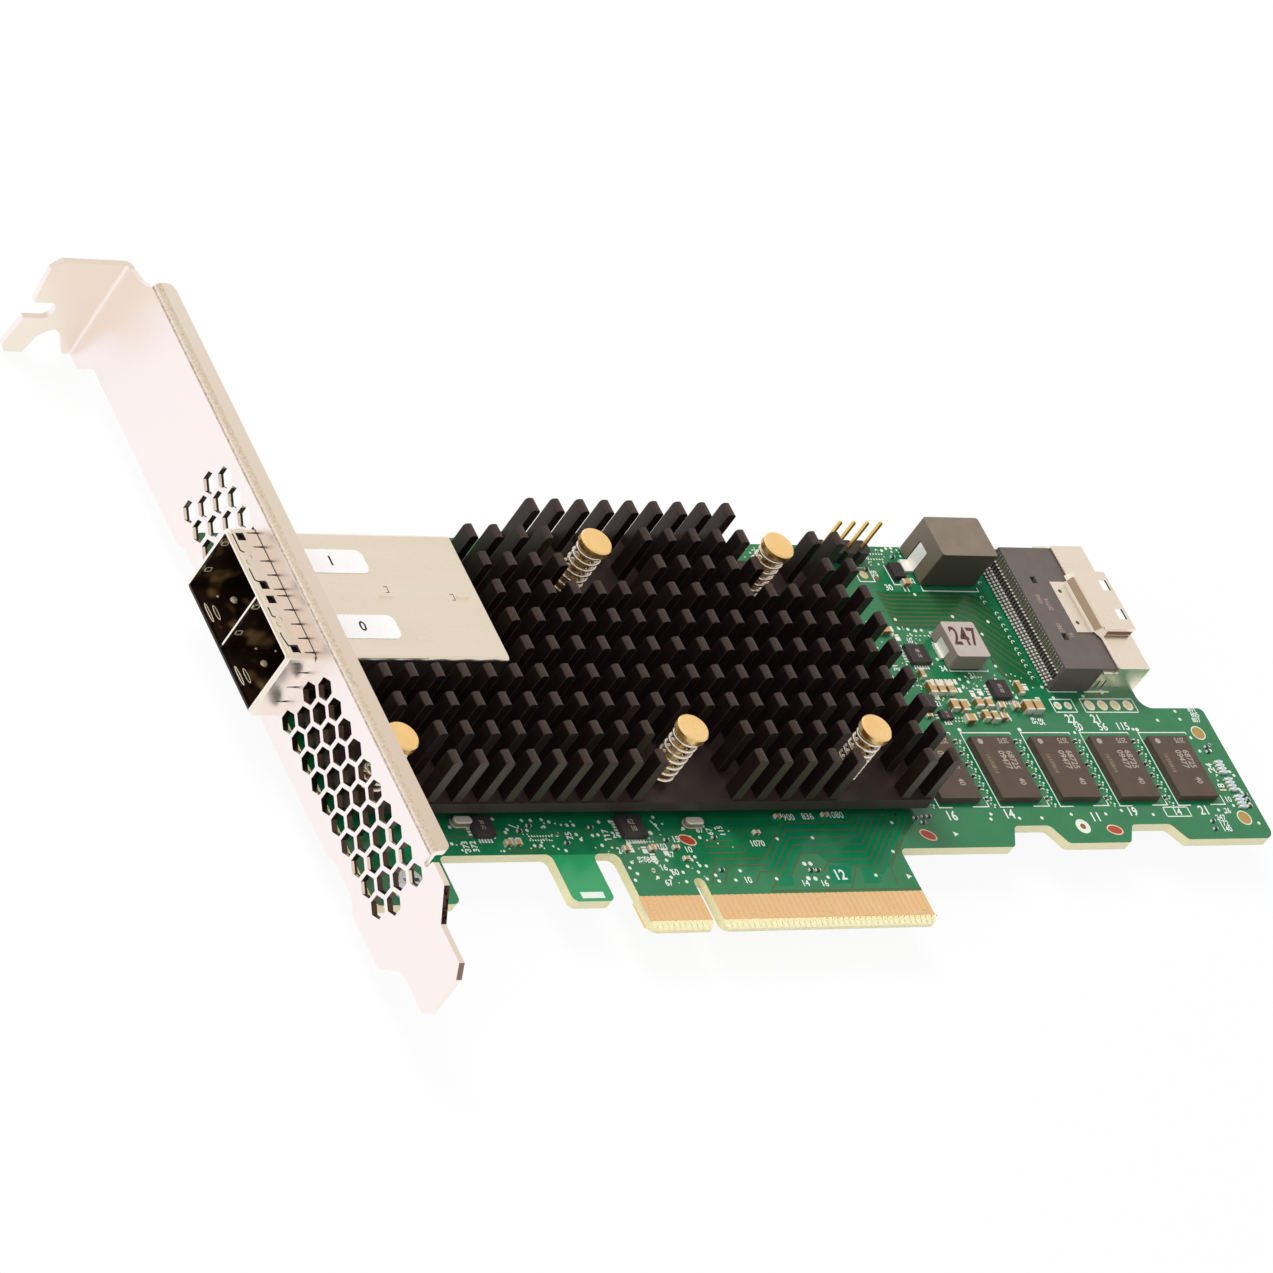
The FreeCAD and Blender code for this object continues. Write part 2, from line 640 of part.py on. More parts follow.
def make_socket_shell():
    """Folded steel mouth: band over the tongue, raised roof, ramp down to a latch plate, two legs."""
    t = shell_t
    x = (socket_x[1], shell_front)
    y = (socket_y[0] - t, socket_y[1] + t)
    inside = box((x[0] - 1, x[1] + 1), (y[0] + t, y[1] - t), (-1, socket_h))
    band = box(x, y, (0, socket_h + t)).cut(inside)
    roof = box(x, raised_y, (socket_h, raised_h))
    inner_y = (raised_y[0] + t, raised_y[1] - t)
    hollow = box((x[0] - 1, x[1] + 1), inner_y, (socket_h - 1, raised_h - t))
    start = x[0] - latch_len
    ramp = x[0] - latch_rise
    lap = x[0] + 0.5
    strip = [(start, socket_h, 0), (ramp, socket_h, 0.3), (x[0], raised_h - t, 0.3),
             (lap, raised_h - t, 0), (lap, raised_h, 0), (x[0] - 0.2, raised_h, 0.4),
             (ramp - 0.2, socket_h + t, 0.4), (start, socket_h + t, 0)]
    latch_y = (raised_y[0] + latch_inset[0], raised_y[1] - latch_inset[1])
    latch = plate(strip, on_xz, latch_y[0], latch_y[1])
    windows = [box((x[1] - 0.6 - shell_window[0], x[1] - 0.6),
                   (middle - shell_window[1] / 2, middle + shell_window[1] / 2),
                   (raised_h - 1, raised_h + 1))
               for middle in shell_window_y]
    holes = [post(latch_hole_r, start + latch_hole_in[0], middle, socket_h - 1, socket_h + 2)
             for middle in (latch_y[0] + latch_hole_in[1], latch_y[1] - latch_hole_in[1])]
    legs = []
    for side in (y[0], y[1] - t):
        leg = (x[1] - shell_leg[0], x[1] - shell_leg[0] + shell_leg[1])
        legs.append(box(leg, (side, side + t), (-board_t - shell_leg[2], 0)))
        cheek = box((x[0] - cheek_len, x[0]), (side, side + t), (0, cheek_h))
        outward = (side - cheek_lip, side) if side == y[0] else (side + t, side + t + cheek_lip)
        legs.append(box((x[0] - cheek_len, x[0]), outward, (cheek_h - t, cheek_h)))
        for i in range(2):
            left = x[0] - cheek_len + cheek_slot[0] + cheek_slot[1] * i
            slot = box((left, left + cheek_slot[2]), (side - 1, side + 1), (cheek_slot[3], cheek_slot[4]))
            cheek = cheek.cut(slot)
        legs.append(cheek)
    shell = fused(band, [roof] + legs).cut([hollow])
    return fused(shell, [latch]).cut(windows + holes)


# ---------------------------------------------------------------- coils
def make_coil_body(x, y, low, high, groove):
    corners = [(a, b, coil_edge) for a, b in ((x[0], y[0]), (x[1], y[0]), (x[1], y[1]), (x[0], y[1]))]
    body = plate(corners, on_xy, low, high)
    middle = (y[0] + y[1]) / 2
    reach = groove / 2
    cuts = []
    rise = low + (high - low) * groove_share
    for wall in (x[0], x[1] - lead_t):
        cuts.append(box((wall, wall + lead_t), (middle - reach, middle + reach), (low, rise)))
    return body.cut(cuts)


def make_coil_leads(x, y, low, high, width, foot):
    middle = (y[0] + y[1]) / 2
    half = width / 2
    rise = low + (high - low) * lead_share
    leads = []
    across = (middle - half, middle + half)
    for wall, outer in ((x[0], x[0] - foot), (x[1] - lead_t, x[1] + foot)):
        upright = box((wall, wall + lead_t), across, (0, rise))
        sole = box((min(wall, outer), max(wall + lead_t, outer)), across, (0, lead_t))
        leads.append(fused(upright, [sole]))
    return Part.makeCompound(leads)


# ---------------------------------------------------------------- header, chips, capacitors
def make_header_base():
    """Row of joined cells, each with its corners cut off."""
    half = header_pitch / 2
    cells = []
    holes = []
    for i in range(header_pins):
        x = header_x + header_pitch * i
        c = header_chamfer
        corners = [(x - half, header_y - half + c, 0), (x - half + c, header_y - half, 0),
                   (x + half - c, header_y - half, 0), (x + half, header_y - half + c, 0),
                   (x + half, header_y + half - c, 0), (x + half - c, header_y + half, 0),
                   (x - half + c, header_y + half, 0), (x - half, header_y + half - c, 0)]
        cells.append(plate(corners, on_xy, 0, header_base_h))
        w = header_pin_w / 2
        holes.append(box((x - w, x + w), (header_y - w, header_y + w), (-1, header_base_h + 1)))
    return fused(cells[0], cells[1:]).cut(holes)


def make_header_pins():
    pins = []
    w = header_pin_w / 2
    for i in range(header_pins):
        x = header_x + header_pitch * i
        shank = box((x - w, x + w), (header_y - w, header_y + w), (-board_t - header_tail, header_tip))
        edges = [edge for edge in shank.Faces[5].Edges]
        pins.append(shank.makeChamfer(header_point, edges))
    return Part.makeCompound(pins)


def make_capacitor(x, y, w, d, h):
    """Body and its two metal ends, which stand at the ends of the longer side."""
    e = capacitor_end
    if w > d:
        body = box((x - w / 2 + e, x + w / 2 - e), (y - d / 2, y + d / 2), (0, h))
        ends = [box((a, a + e), (y - d / 2, y + d / 2), (0, h)) for a in (x - w / 2, x + w / 2 - e)]
    else:
        body = box((x - w / 2, x + w / 2), (y - d / 2 + e, y + d / 2 - e), (0, h))
        ends = [box((x - w / 2, x + w / 2), (b, b + e), (0, h)) for b in (y - d / 2, y + d / 2 - e)]
    return body, ends


def chip_box(x, y, size):
    wide, deep, tall = size
    return box((x - wide / 2, x + wide / 2), (y - deep / 2, y + deep / 2), (0, tall))


# ---------------------------------------------------------------- export
os.makedirs("parts", exist_ok=True)
export("circuit_board", make_board())
export("edge_contacts", make_edge_contacts())
export("controller_chip", square_about(stack_centre(), chip_side, 0, chip_h))
export("thermal_pad", square_about(stack_centre(), pad_side, chip_h, base_z))
export("heatsink", make_heatsink())
for number, (pin_x, pin_y) in enumerate(pin_places, 1):
    export("push_pin_%d" % number, make_push_pin(pin_x, pin_y))
    export("pin_spring_%d" % number, make_spring(pin_x, pin_y))
export("mounting_bracket", make_bracket())
export("bracket_screws", make_screws())
export("cage_shell", make_cage_shell())
export("cage_floor", make_cage_floor())
export("cage_divider", make_cage_divider())
export("emi_collar", make_collar())
for number, port_y in enumerate(port_middles(), 1):
    export("port_receptacle_%d" % number, make_receptacle(port_y))
    export("port_contacts_%d" % number, make_receptacle_contacts(port_y))
    export("port_label_%d" % number, make_label(port_y + (label_shift if number == 1 else 0)))
export("socket_housing", make_socket_housing())
export("socket_contacts", make_socket_contacts())
export("socket_shell", make_socket_shell())
export("power_coil", make_coil_body(coil_x, coil_y, coil_gap, coil_h, coil_groove))
export("power_coil_leads", make_coil_leads(coil_x, coil_y, coil_gap, coil_h, coil_lead_w, coil_foot))
export("small_coil", make_coil_body(small_coil_x, small_coil_y, small_coil_gap, small_coil_h,
                                    small_coil_groove))
export("small_coil_leads", make_coil_leads(small_coil_x, small_coil_y, small_coil_gap, small_coil_h,
                                           small_coil_lead_w, small_coil_foot))
for number in range(memory_count):
    left = memory_first[0] + memory_pitch * number
    bottom = memory_first[1]
    wide, deep, tall = memory_size
    export("memory_chip_%d" % (number + 1), box((left, left + wide), (bottom, bottom + deep), (0, tall)))
export("header_base", make_header_base())
export("header_pins", make_header_pins())
for name, (chip_x, chip_y), size in front_chips:
    export(name, chip_box(chip_x, chip_y, size))
for name, (chip_x, chip_y), size in power_chips:
    export(name, chip_box(base_right + chip_x, chip_y, size))
capacitor_parts = [make_capacitor(*place) for place in front_capacitors]
capacitor_parts += [make_capacitor(base_right + place[0], *place[1:]) for place in power_capacitors]
export("capacitor_bodies", Part.makeCompound([body for body, ends in capacitor_parts]))
export("capacitor_ends", Part.makeCompound([end for body, ends in capacitor_parts for end in ends]))
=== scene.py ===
import math
import random

import bmesh
import bpy
from mathutils import Matrix, Vector


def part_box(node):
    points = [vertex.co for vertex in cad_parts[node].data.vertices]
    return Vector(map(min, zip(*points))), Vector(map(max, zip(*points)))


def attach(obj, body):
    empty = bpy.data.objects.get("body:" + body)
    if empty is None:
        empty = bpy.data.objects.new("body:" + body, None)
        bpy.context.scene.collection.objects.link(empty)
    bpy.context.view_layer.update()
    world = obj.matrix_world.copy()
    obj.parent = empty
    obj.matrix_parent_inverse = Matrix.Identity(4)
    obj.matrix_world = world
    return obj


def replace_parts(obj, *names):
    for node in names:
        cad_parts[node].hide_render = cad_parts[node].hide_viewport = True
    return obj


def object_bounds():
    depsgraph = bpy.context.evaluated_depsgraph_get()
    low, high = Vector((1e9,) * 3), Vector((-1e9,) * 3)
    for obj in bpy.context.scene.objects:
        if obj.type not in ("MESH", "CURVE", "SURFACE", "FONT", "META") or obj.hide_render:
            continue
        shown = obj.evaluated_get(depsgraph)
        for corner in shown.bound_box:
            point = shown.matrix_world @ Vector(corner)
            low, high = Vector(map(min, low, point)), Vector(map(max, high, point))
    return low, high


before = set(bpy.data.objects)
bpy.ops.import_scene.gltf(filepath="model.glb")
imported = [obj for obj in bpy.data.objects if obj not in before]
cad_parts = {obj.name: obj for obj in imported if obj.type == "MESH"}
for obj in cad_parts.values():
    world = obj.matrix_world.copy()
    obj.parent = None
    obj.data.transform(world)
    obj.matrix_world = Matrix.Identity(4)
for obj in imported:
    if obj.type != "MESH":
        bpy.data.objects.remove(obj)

box_at_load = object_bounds()
MM = 0.001


def reach(node):
    """Where a CAD node lies, in card millimetres: (low, high) along X, Y and Z."""
    return [(low / MM, high / MM) for low, high in zip(*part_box(node))]


# ---------------------------------------------------------------- materials
def srgb(code):
    """Linear colour from an sRGB hex code."""
    parts = [int(code[i:i + 2], 16) / 255 for i in (1, 3, 5)]
    return tuple(p / 12.92 if p <= 0.04045 else ((p + 0.055) / 1.055) ** 2.4 for p in parts) + (1.0,)


def add(tree, kind, settings=None, links=None, stops=()):
    """One shader node: its settings, a value or a node's output for each input, a ramp's (place, hex)s."""
    made = tree.nodes.new(kind)
    for key, value in (settings or {}).items():
        setattr(made, key, value)
    for key, value in (links or {}).items():
        if isinstance(value, bpy.types.NodeSocket):
            tree.links.new(value, made.inputs[key])
        else:
            made.inputs[key].default_value = value
    if stops:
        band = made.color_ramp.elements
        while len(band) < len(stops):
            band.new(0.5)
        for element, (place, code) in zip(band, stops):
            element.position = place
            element.color = srgb(code)
    return made


def surface(name, dark, pale, rough, spread, grain_mm, relief, metal=0.0, coat=0.0, stretch=(1, 1, 1),
            specular=0.5):
    """Material whose colour and roughness drift together, half over grain_mm and half in broad clouds.

    rough is the roughness and spread its drift either way. relief is the strength of the grain's bumps.
    """
    cloud_mm = 14 * grain_mm
    material = bpy.data.materials.new(name)
    material.use_nodes = True
    tree = material.node_tree
    tree.nodes.clear()
    place = add(tree, "ShaderNodeTexCoord").outputs["Object"]
    mapped = add(tree, "ShaderNodeMapping", links={"Vector": place, "Scale": stretch}).outputs["Vector"]
    grain = add(tree, "ShaderNodeTexNoise",
                links={"Vector": mapped, "Scale": 1 / (grain_mm * MM), "Detail": 6.0}).outputs["Fac"]
    cloud = add(tree, "ShaderNodeTexNoise",
                links={"Vector": mapped, "Scale": 1 / (cloud_mm * MM), "Detail": 2.0}).outputs["Fac"]
    drift = add(tree, "ShaderNodeMix", links={"Factor": 0.5, "A": grain, "B": cloud}).outputs["Result"]
    colour = add(tree, "ShaderNodeValToRGB", links={"Fac": drift}, stops=((0.3, dark), (0.7, pale)))
    roughness = add(tree, "ShaderNodeMapRange",
                    links={"Value": drift, "From Min": 0.3, "From Max": 0.7,
                           "To Min": max(rough - spread, 0.03), "To Max": rough + spread})
    bumps = add(tree, "ShaderNodeBump",
                links={"Height": grain, "Strength": relief, "Distance": grain_mm * MM * 0.3})
    shader = add(tree, "ShaderNodeBsdfPrincipled",
                 links={"Base Color": colour.outputs["Color"], "Roughness": roughness.outputs["Result"],
                        "Metallic": metal, "Normal": bumps.outputs["Normal"], "Coat Weight": coat,
                        "Coat Roughness": 0.12, "Specular IOR Level": specular})
    add(tree, "ShaderNodeOutputMaterial", links={"Surface": shader.outputs["BSDF"]})
    return material


def shader_of(material):
    return next(n for n in material.node_tree.nodes if n.type == "BSDF_PRINCIPLED")


def paint(material, share, colour):
    """Lays a hex colour or a node's output over the material's own colour, by a 0 to 1 share."""
    tree = material.node_tree
    base = shader_of(material).inputs["Base Color"]
    over = srgb(colour) if isinstance(colour, str) else colour
    mixed = add(tree, "ShaderNodeMix", {"data_type": "RGBA"},
                {"Factor": share, 6: base.links[0].from_socket, 7: over})
    tree.links.new(mixed.outputs[2], base)


def region(material, facing=None, **spans):
    """1 inside X, Y and Z spans in card millimetres, and 0 outside them.

    facing is (axis, least, most): it keeps only faces whose normal has that much of itself along the axis,
    either way.
    """
    tree = material.node_tree
    place = add(tree, "ShaderNodeSeparateXYZ", links={0: add(tree, "ShaderNodeTexCoord").outputs["Object"]})
    tests = [(place.outputs[axis], (low + high) / 2 * MM, (high - low) / 2 * MM)
             for axis, (low, high) in spans.items()]
    if facing:
        axis, least, most = facing
        normal = add(tree, "ShaderNodeSeparateXYZ",
                     links={0: add(tree, "ShaderNodeNewGeometry").outputs["True Normal"]})
        size = add(tree, "ShaderNodeMath", {"operation": "ABSOLUTE"}, {0: normal.outputs[axis]})
        tests.append((size.outputs[0], (least + most) / 2, (most - least) / 2))
    share = 1.0
    for value, middle, half in tests:
        inside = add(tree, "ShaderNodeMath", {"operation": "COMPARE"}, {0: value, 1: middle, 2: half})
        both = add(tree, "ShaderNodeMath", {"operation": "MULTIPLY"}, {0: share, 1: inside.outputs[0]})
        share = both.outputs[0]
    return share


def mottle(material, share, blotch_mm, stops, detail=2.0):
    """Lays blotches about blotch_mm wide over a share of a material, coloured by (place, hex) stops."""
    tree = material.node_tree
    place = add(tree, "ShaderNodeTexCoord").outputs["Object"]
    noise = add(tree, "ShaderNodeTexNoise",
                links={"Vector": place, "Scale": 1 / (blotch_mm * MM), "Detail": detail})
    blotches = add(tree, "ShaderNodeValToRGB", links={"Fac": noise.outputs["Fac"]}, stops=stops)
    paint(material, share, blotches.outputs["Color"])


def arris_wear_and_highlight(material, amount, code):
    """Lightens the arrises: partly wear, where handling and tumbling thin the finish, and partly a painted
    highlight along the edges.
    """
    arris_mm = 0.18
    tree = material.node_tree
    rounded = add(tree, "ShaderNodeBevel", links={"Radius": arris_mm * MM}).outputs["Normal"]
    flat = add(tree, "ShaderNodeNewGeometry").outputs["Normal"]
    turn = add(tree, "ShaderNodeVectorMath", {"operation": "DOT_PRODUCT"}, {0: rounded, 1: flat})
    edge = add(tree, "ShaderNodeMapRange",
               links={"Value": turn.outputs["Value"], "From Min": 1.0, "From Max": 0.86, "To Min": 0.0,
                      "To Max": amount})
    paint(material, edge.outputs["Result"], code)


def show_plies(material, plies, thickness):
    """Shows the cream resin on the board's routed sides, in faint layers of glass cloth."""
    tree = material.node_tree
    place = add(tree, "ShaderNodeSeparateXYZ", links={0: add(tree, "ShaderNodeTexCoord").outputs["Object"]})
    turns = add(tree, "ShaderNodeMath", {"operation": "MULTIPLY"},
                {0: place.outputs["Z"], 1: plies * math.tau / (thickness * MM)})
    layers = add(tree, "ShaderNodeMath", {"operation": "SINE"}, {0: turns.outputs[0]})
    resin = add(tree, "ShaderNodeValToRGB", links={"Fac": layers.outputs[0]},
                stops=((0.0, "#fdf4be"), (1.0, "#fffad6")))
    paint(material, region(material, facing=("Z", 0.0, 0.97)), resin.outputs["Color"])


# The real grains are mostly finer than 0.1 mm and wouldn't show, so each is drawn as coarse as it needs to.

# ---- board
# Glass-cloth laminate under a thin flowed green mask: glossy, flat, and nearly even in colour.
board_green = surface("solder_mask_green", "#0f6e42", "#187d50", 0.17, 0.04, 0.35, 0.03, coat=0.1)
# No copper plane lies under the tongue beside the connector, so light comes through it.
paint(board_green, region(board_green, X=(-24.0, -12.9), Y=(0.0, 12.7)), "#2a9c62")
# The strip between the edge contacts has no mask.
paint(board_green, region(board_green, X=(-12.6, 40.5), Y=(-1.0, 5.45)), "#dcb885")
board_z = reach("circuit_board")[2]
show_plies(board_green, 4, board_z[1] - board_z[0])
# Milled laminate: the bevel cuts through the mask to the cream resin, matt and pale.
cream = surface("bare_laminate", "#f6e8b8", "#fff4d2", 0.5, 0.05, 0.3, 0.05)
# The same mask over etched copper tracks turns olive brown, less glossy where it flowed thin.
over_tracks = surface("mask_over_tracks", "#4d5a37", "#5d6640", 0.2, 0.04, 0.3, 0.03, specular=0.2)
# Over laminate with the copper etched away it turns a deep blue green.
over_gaps = surface("mask_over_gaps", "#04754d", "#0a8257", 0.17, 0.04, 0.3, 0.03, specular=0.15)
# Around the bundle of fine tracks it is a dark leaf green.
over_bundle = surface("mask_over_bundle", "#175c36", "#1e693f", 0.17, 0.04, 0.3, 0.03, specular=0.2)
# Vias plugged and tented with mask, which bulges: pale dots that catch the light.
via_metal = surface("tented_via", "#d6e2cc", "#f4f6ea", 0.35, 0.05, 0.2, 0.05)
# White epoxy ink pressed through a screen: matt, faintly green where it is thin.
print_white = surface("white_screen_print", "#dfeadd", "#f1f6ee", 0.55, 0.05, 0.15, 0.1)
# Red ink stamped on the mask: matt brick red.
red_mark = surface("tooling_mark", "#a2361c", "#ba4a28", 0.4, 0.05, 0.2, 0.05)
# The ink thins to peach round each mark.
peach_rim = surface("tooling_mark_rim", "#ecc3a0", "#f5d6b6", 0.4, 0.05, 0.2, 0.05)

# ---- plating and solder on the board
# Hard gold, plated over nickel and left unpolished: flat satin, pale peach.
gold = surface("hard_gold_plate", "#f3c48c", "#fbd3a2", 0.3, 0.05, 0.3, 0.03, 0.55)
# Thin gold plate, dulled in the oven: olive yellow.
olive_gold = surface("aged_gold_pad", "#a5813f", "#c19f56", 0.35, 0.05, 0.3, 0.03, 0.2)
# Holes tinned by dipping, which throw back the warm light of their walls.
hole_tin = surface("tinned_hole", "#d9bf86", "#f3e3bb", 0.35, 0.05, 0.3, 0.03, 0.3)
# Solder reflowed in an oven and frozen bright: smooth, slightly lumpy, almost white.
solder = surface("bright_solder", "#ebe7dc", "#fcfaf2", 0.3, 0.05, 0.2, 0.06, 0.15)
# Tin reflowed over ceramic ends: creamy metal with a soft shine.
tin = surface("reflowed_tin", "#e2dccd", "#f8f3e8", 0.3, 0.06, 0.2, 0.08, 0.45)
# Tin-lead plating on the socket's upright contacts, which mirrors the dark housing: olive grey.
shaded_tin = surface("shaded_tin_lead", "#83876c", "#a3a88a", 0.32, 0.05, 0.3, 0.03, 0.3)
# Copper edges left bare by the bevel and browned by heat: dull red brown. The same colour is painted as shade
# in the gap under the socket's roof.
heat_tint_and_shade = surface("heat_tinted_edge_and_painted_shade", "#6e4a3c", "#86604f", 0.5, 0.05, 0.2, 0.02)

# ---- heatsink and its pins
# Hard black anodising on extruded and sawn aluminium: near black, faint warm cast, paler arrises that carry a
# painted highlight.
anodised = surface("black_anodised_aluminium", "#120d0c", "#1d1615", 0.4, 0.06, 0.12, 0.08)
arris_wear_and_highlight(anodised, 0.6, "#5a4b44")
# Flat tops take the light and look charcoal, and so does the row of fins nearest the contacts.
mottle(anodised, region(anodised, facing=("Z", 0.3, 1.05)), 0.12, ((0.35, "#221a17"), (0.65, "#33282a")),
       detail=4.0)
paint(anodised, region(anodised, Y=(15.0, 20.6), facing=("Y", 0.5, 1.05)), "#362e2c")
shader_of(anodised).inputs["Specular Tint"].default_value = srgb("#ffe6d8")
# Filled silicone, rolled into sheet: soft, matt mid grey.
pad_grey = surface("silicone_pad", "#8f8f8f", "#a3a3a3", 0.7, 0.05, 0.4, 0.2)
# Turned yellow brass: fine lathe rings, bright with a warm bloom on top; painted shade and reflection streak
# its walls, and a painted highlight runs along its arrises.
brass = surface("turned_brass", "#f8c97c", "#ffdda2", 0.24, 0.05, 0.25, 0.04, 0.6)
mottle(brass, region(brass, facing=("Z", 0.0, 0.6)), 1.6,
       ((0.38, "#96682c"), (0.52, "#e2ae5c"), (0.66, "#ffe3ab")))
arris_wear_and_highlight(brass, 0.5, "#fff0cf")
# Spring wire drawn bright through a die: smooth and almost white.
wire = surface("drawn_spring_steel", "#e6dccf", "#f6ede2", 0.22, 0.05, 0.2, 0.02, 0.9)

# ---- moulded and pressed parts
# Moulding compound with a matt spark-eroded skin: brown grey.
compound = surface("moulding_compound", "#493a31", "#59493e", 0.5, 0.05, 0.12, 0.1)
# A blacker compound, moulded the same way.
compound_dark = surface("moulding_compound_dark", "#2a2426", "#383032", 0.5, 0.05, 0.12, 0.1)
# Glass-filled nylon, moulded: glass at the skin gives the flat top an ash grey sheen.
socket_black = surface("glass_filled_nylon", "#5a514e", "#6b615d", 0.42, 0.06, 0.16, 0.1)
# Black plastic, moulded and left as it comes from the tool: almost black, with a dull shine.
port_black = surface("port_moulding", "#161112", "#211a1a", 0.5, 0.06, 0.2, 0.1)
header_black = surface("header_moulding", "#1c1718", "#2a2324", 0.45, 0.06, 0.2, 0.1)
# Gold flashed on drawn square wire: rich yellow, brown on the sides turned from the light.
pin_gold = surface("flash_gold_pin", "#e3ae50", "#f7cf7a", 0.28, 0.05, 0.3, 0.03, 0.7)
paint(pin_gold, region(pin_gold, facing=("Y", 0.5, 1.0)), "#ad7a30")
# Iron powder pressed round the coil: stone-like, slightly rough, one coil darker than the other.
ferrite = surface("pressed_iron_powder", "#75695a", "#8b7e70", 0.5, 0.06, 0.18, 0.2)
ferrite_light = surface("pressed_iron_powder_grey", "#b3a69e", "#c6b9b1", 0.5, 0.06, 0.18, 0.16)
# Painted shade: the sides of both coils are painted darker, those facing along Y darkest.
for powder, left, front in ((ferrite, "#716656", "#463f33"), (ferrite_light, "#9a8a82", "#8f847a")):
    paint(powder, region(powder, facing=("X", 0.5, 1.0)), left)
    paint(powder, region(powder, facing=("Y", 0.5, 1.0)), front)
# Layered ceramic, pressed and fired: smooth tan, with painted shade on its sides.
ceramic = surface("fired_ceramic", "#b3905a", "#cfae7a", 0.42, 0.06, 0.3, 0.06)
paint(ceramic, region(ceramic, facing=("Z", 0.0, 0.5)), "#855f33")
# One row of capacitors is flooded with solder, which leaves only a thin brown line of body.
paint(ceramic, region(ceramic, X=(60.3, 66.9), Y=(41.6, 43.9)), "#e9dac9")
# Glass glaze fired over the resistor packs: pale blue grey.
pack_grey = surface("resistor_pack_glaze", "#a7bbc4", "#c9d8de", 0.4, 0.05, 0.3, 0.03)

# ---- labels and marks
# Film with a white print coat: smooth, nearly matt, a shade off white.
paper = surface("printed_film", "#e9e7e6", "#f4f2f0", 0.45, 0.05, 0.3, 0.04)
# Black ink printed on the film: dense and matt.
ink = surface("black_ink", "#1d1b1b", "#2b2929", 0.6, 0.05, 0.3, 0.02)
# Figures burnt into the coil's sealed skin: dark brown.
brown_ink = surface("burnt_brown_marking", "#4b2c24", "#5d3a30", 0.6, 0.05, 0.3, 0.02)
# A laser foams the skin of a moulding: pale grey on the chips, tan where the pass is faint, brown on nylon.
laser_grey = surface("laser_marking", "#a2958a", "#b5a99b", 0.6, 0.05, 0.1, 0.05)
laser_tan = surface("laser_marking_tan", "#7f7054", "#958565", 0.6, 0.05, 0.1, 0.05)
laser_brown = surface("laser_marking_brown", "#9c8a81", "#ae9c93", 0.6, 0.05, 0.1, 0.05)

# ---- sheet metal
# Screws plated with clear zinc in a barrel: cool bluish metal, evenly bright.
zinc = surface("clear_zinc_screw", "#c3ccd4", "#dce3e8", 0.26, 0.05, 0.3, 0.05, 1.0)
# Crystal lids drawn from thin sheet: pale warm metal, with painted shade on their walls.
can = surface("lidded_crystal_can", "#cfc6b7", "#ebe3d5", 0.3, 0.05, 0.3, 0.04, 0.2)
paint(can, region(can, facing=("Z", 0.0, 0.5)), "#8d8475")
# Painted highlight on nickel: bright even between dark parts.
highlight = surface("nickel_painted_highlight", "#dccdb8", "#f1e6d6", 0.3, 0.05, 0.3, 0.03, 0.15)
# Painted highlight on the contact bumps and pressed loops: pale warm gold.
bump_highlight = surface("contact_bump_painted_highlight", "#e6d3a8", "#f8ebcb", 0.3, 0.05, 0.3, 0.03, 0.1)
# Painted shade: dark sheets where punched slits, seams and loops open into shadow.
slit_shade = surface("punched_slit_painted_shade", "#1d1511", "#2b211b", 0.6, 0.05, 0.2, 0.02)
# Windows punched through to the cage's inside, where no light comes: black.
unlit = surface("unlit_opening", "#060404", "#0d0908", 0.7, 0.05, 0.2, 0.02, specular=0.1)

# Nickel-plated steel sheet: satin rolled grain along the sheet, warm white.
nickel = surface("satin_nickel_sheet", "#fff3ea", "#fffaf4", 0.34, 0.05, 0.3, 0.03, 1.0, stretch=(1, 0.25, 1))
# Painted shade: the walls of the bracket's punched vents are darker than the plated face, where the sheet's
# thickness lies in shadow.
vent_rows = {"Y": (0.5, 84.0), "Z": (-1.6, 10.9)}
paint(nickel, region(nickel, X=(-56.5, -56.0), facing=("X", 0.0, 0.4), **vent_rows), "#463831")
# Its face carries a painted reflection, cooler than its folds.
paint(nickel, region(nickel, facing=("X", 0.9, 1.05)), "#fff5f4")
# The flange carries a painted reflection that pales towards the tab.
bracket_tree = nickel.node_tree
bracket_place = add(bracket_tree, "ShaderNodeSeparateXYZ",
                    links={0: add(bracket_tree, "ShaderNodeTexCoord").outputs["Object"]})
towards_tab = add(bracket_tree, "ShaderNodeMapRange",
                  links={"Value": bracket_place.outputs["Y"], "From Min": 0.0, "From Max": 100 * MM})
flange_reflection = add(bracket_tree, "ShaderNodeValToRGB", links={"Fac": towards_tab.outputs["Result"]},
                  stops=((0.0, "#f1e5da"), (1.0, "#fff8f1")))
paint(nickel, region(nickel, X=(-56.0, -40.0), Z=(5.0, 16.0), facing=("Z", 0.9, 1.05)),
      flange_reflection.outputs["Color"])
# The tab's face, in a painted reflection.
paint(nickel, region(nickel, X=(-69.0, -57.5), Y=(104.0, 107.0), facing=("Y", 0.5, 1.05)), "#f8edde")
# The fold carries a painted highlight in fine streaks, with painted shade on the crease where it starts.
fold = {"Y": (0.6, 101.0), "Z": (13.0, 16.0)}
mottle(nickel, region(nickel, X=(-57.2, -54.0), facing=("X", 0.1, 0.9), **fold), 0.35,
       ((0.3, "#e6d8c8"), (0.5, "#f5eadd"), (0.7, "#fff6ec")))
mottle(nickel, region(nickel, X=(-57.2, -56.0), facing=("X", 0.93, 0.995), **fold), 0.35,
       ((0.35, "#b5a08f"), (0.6, "#dccbba")))
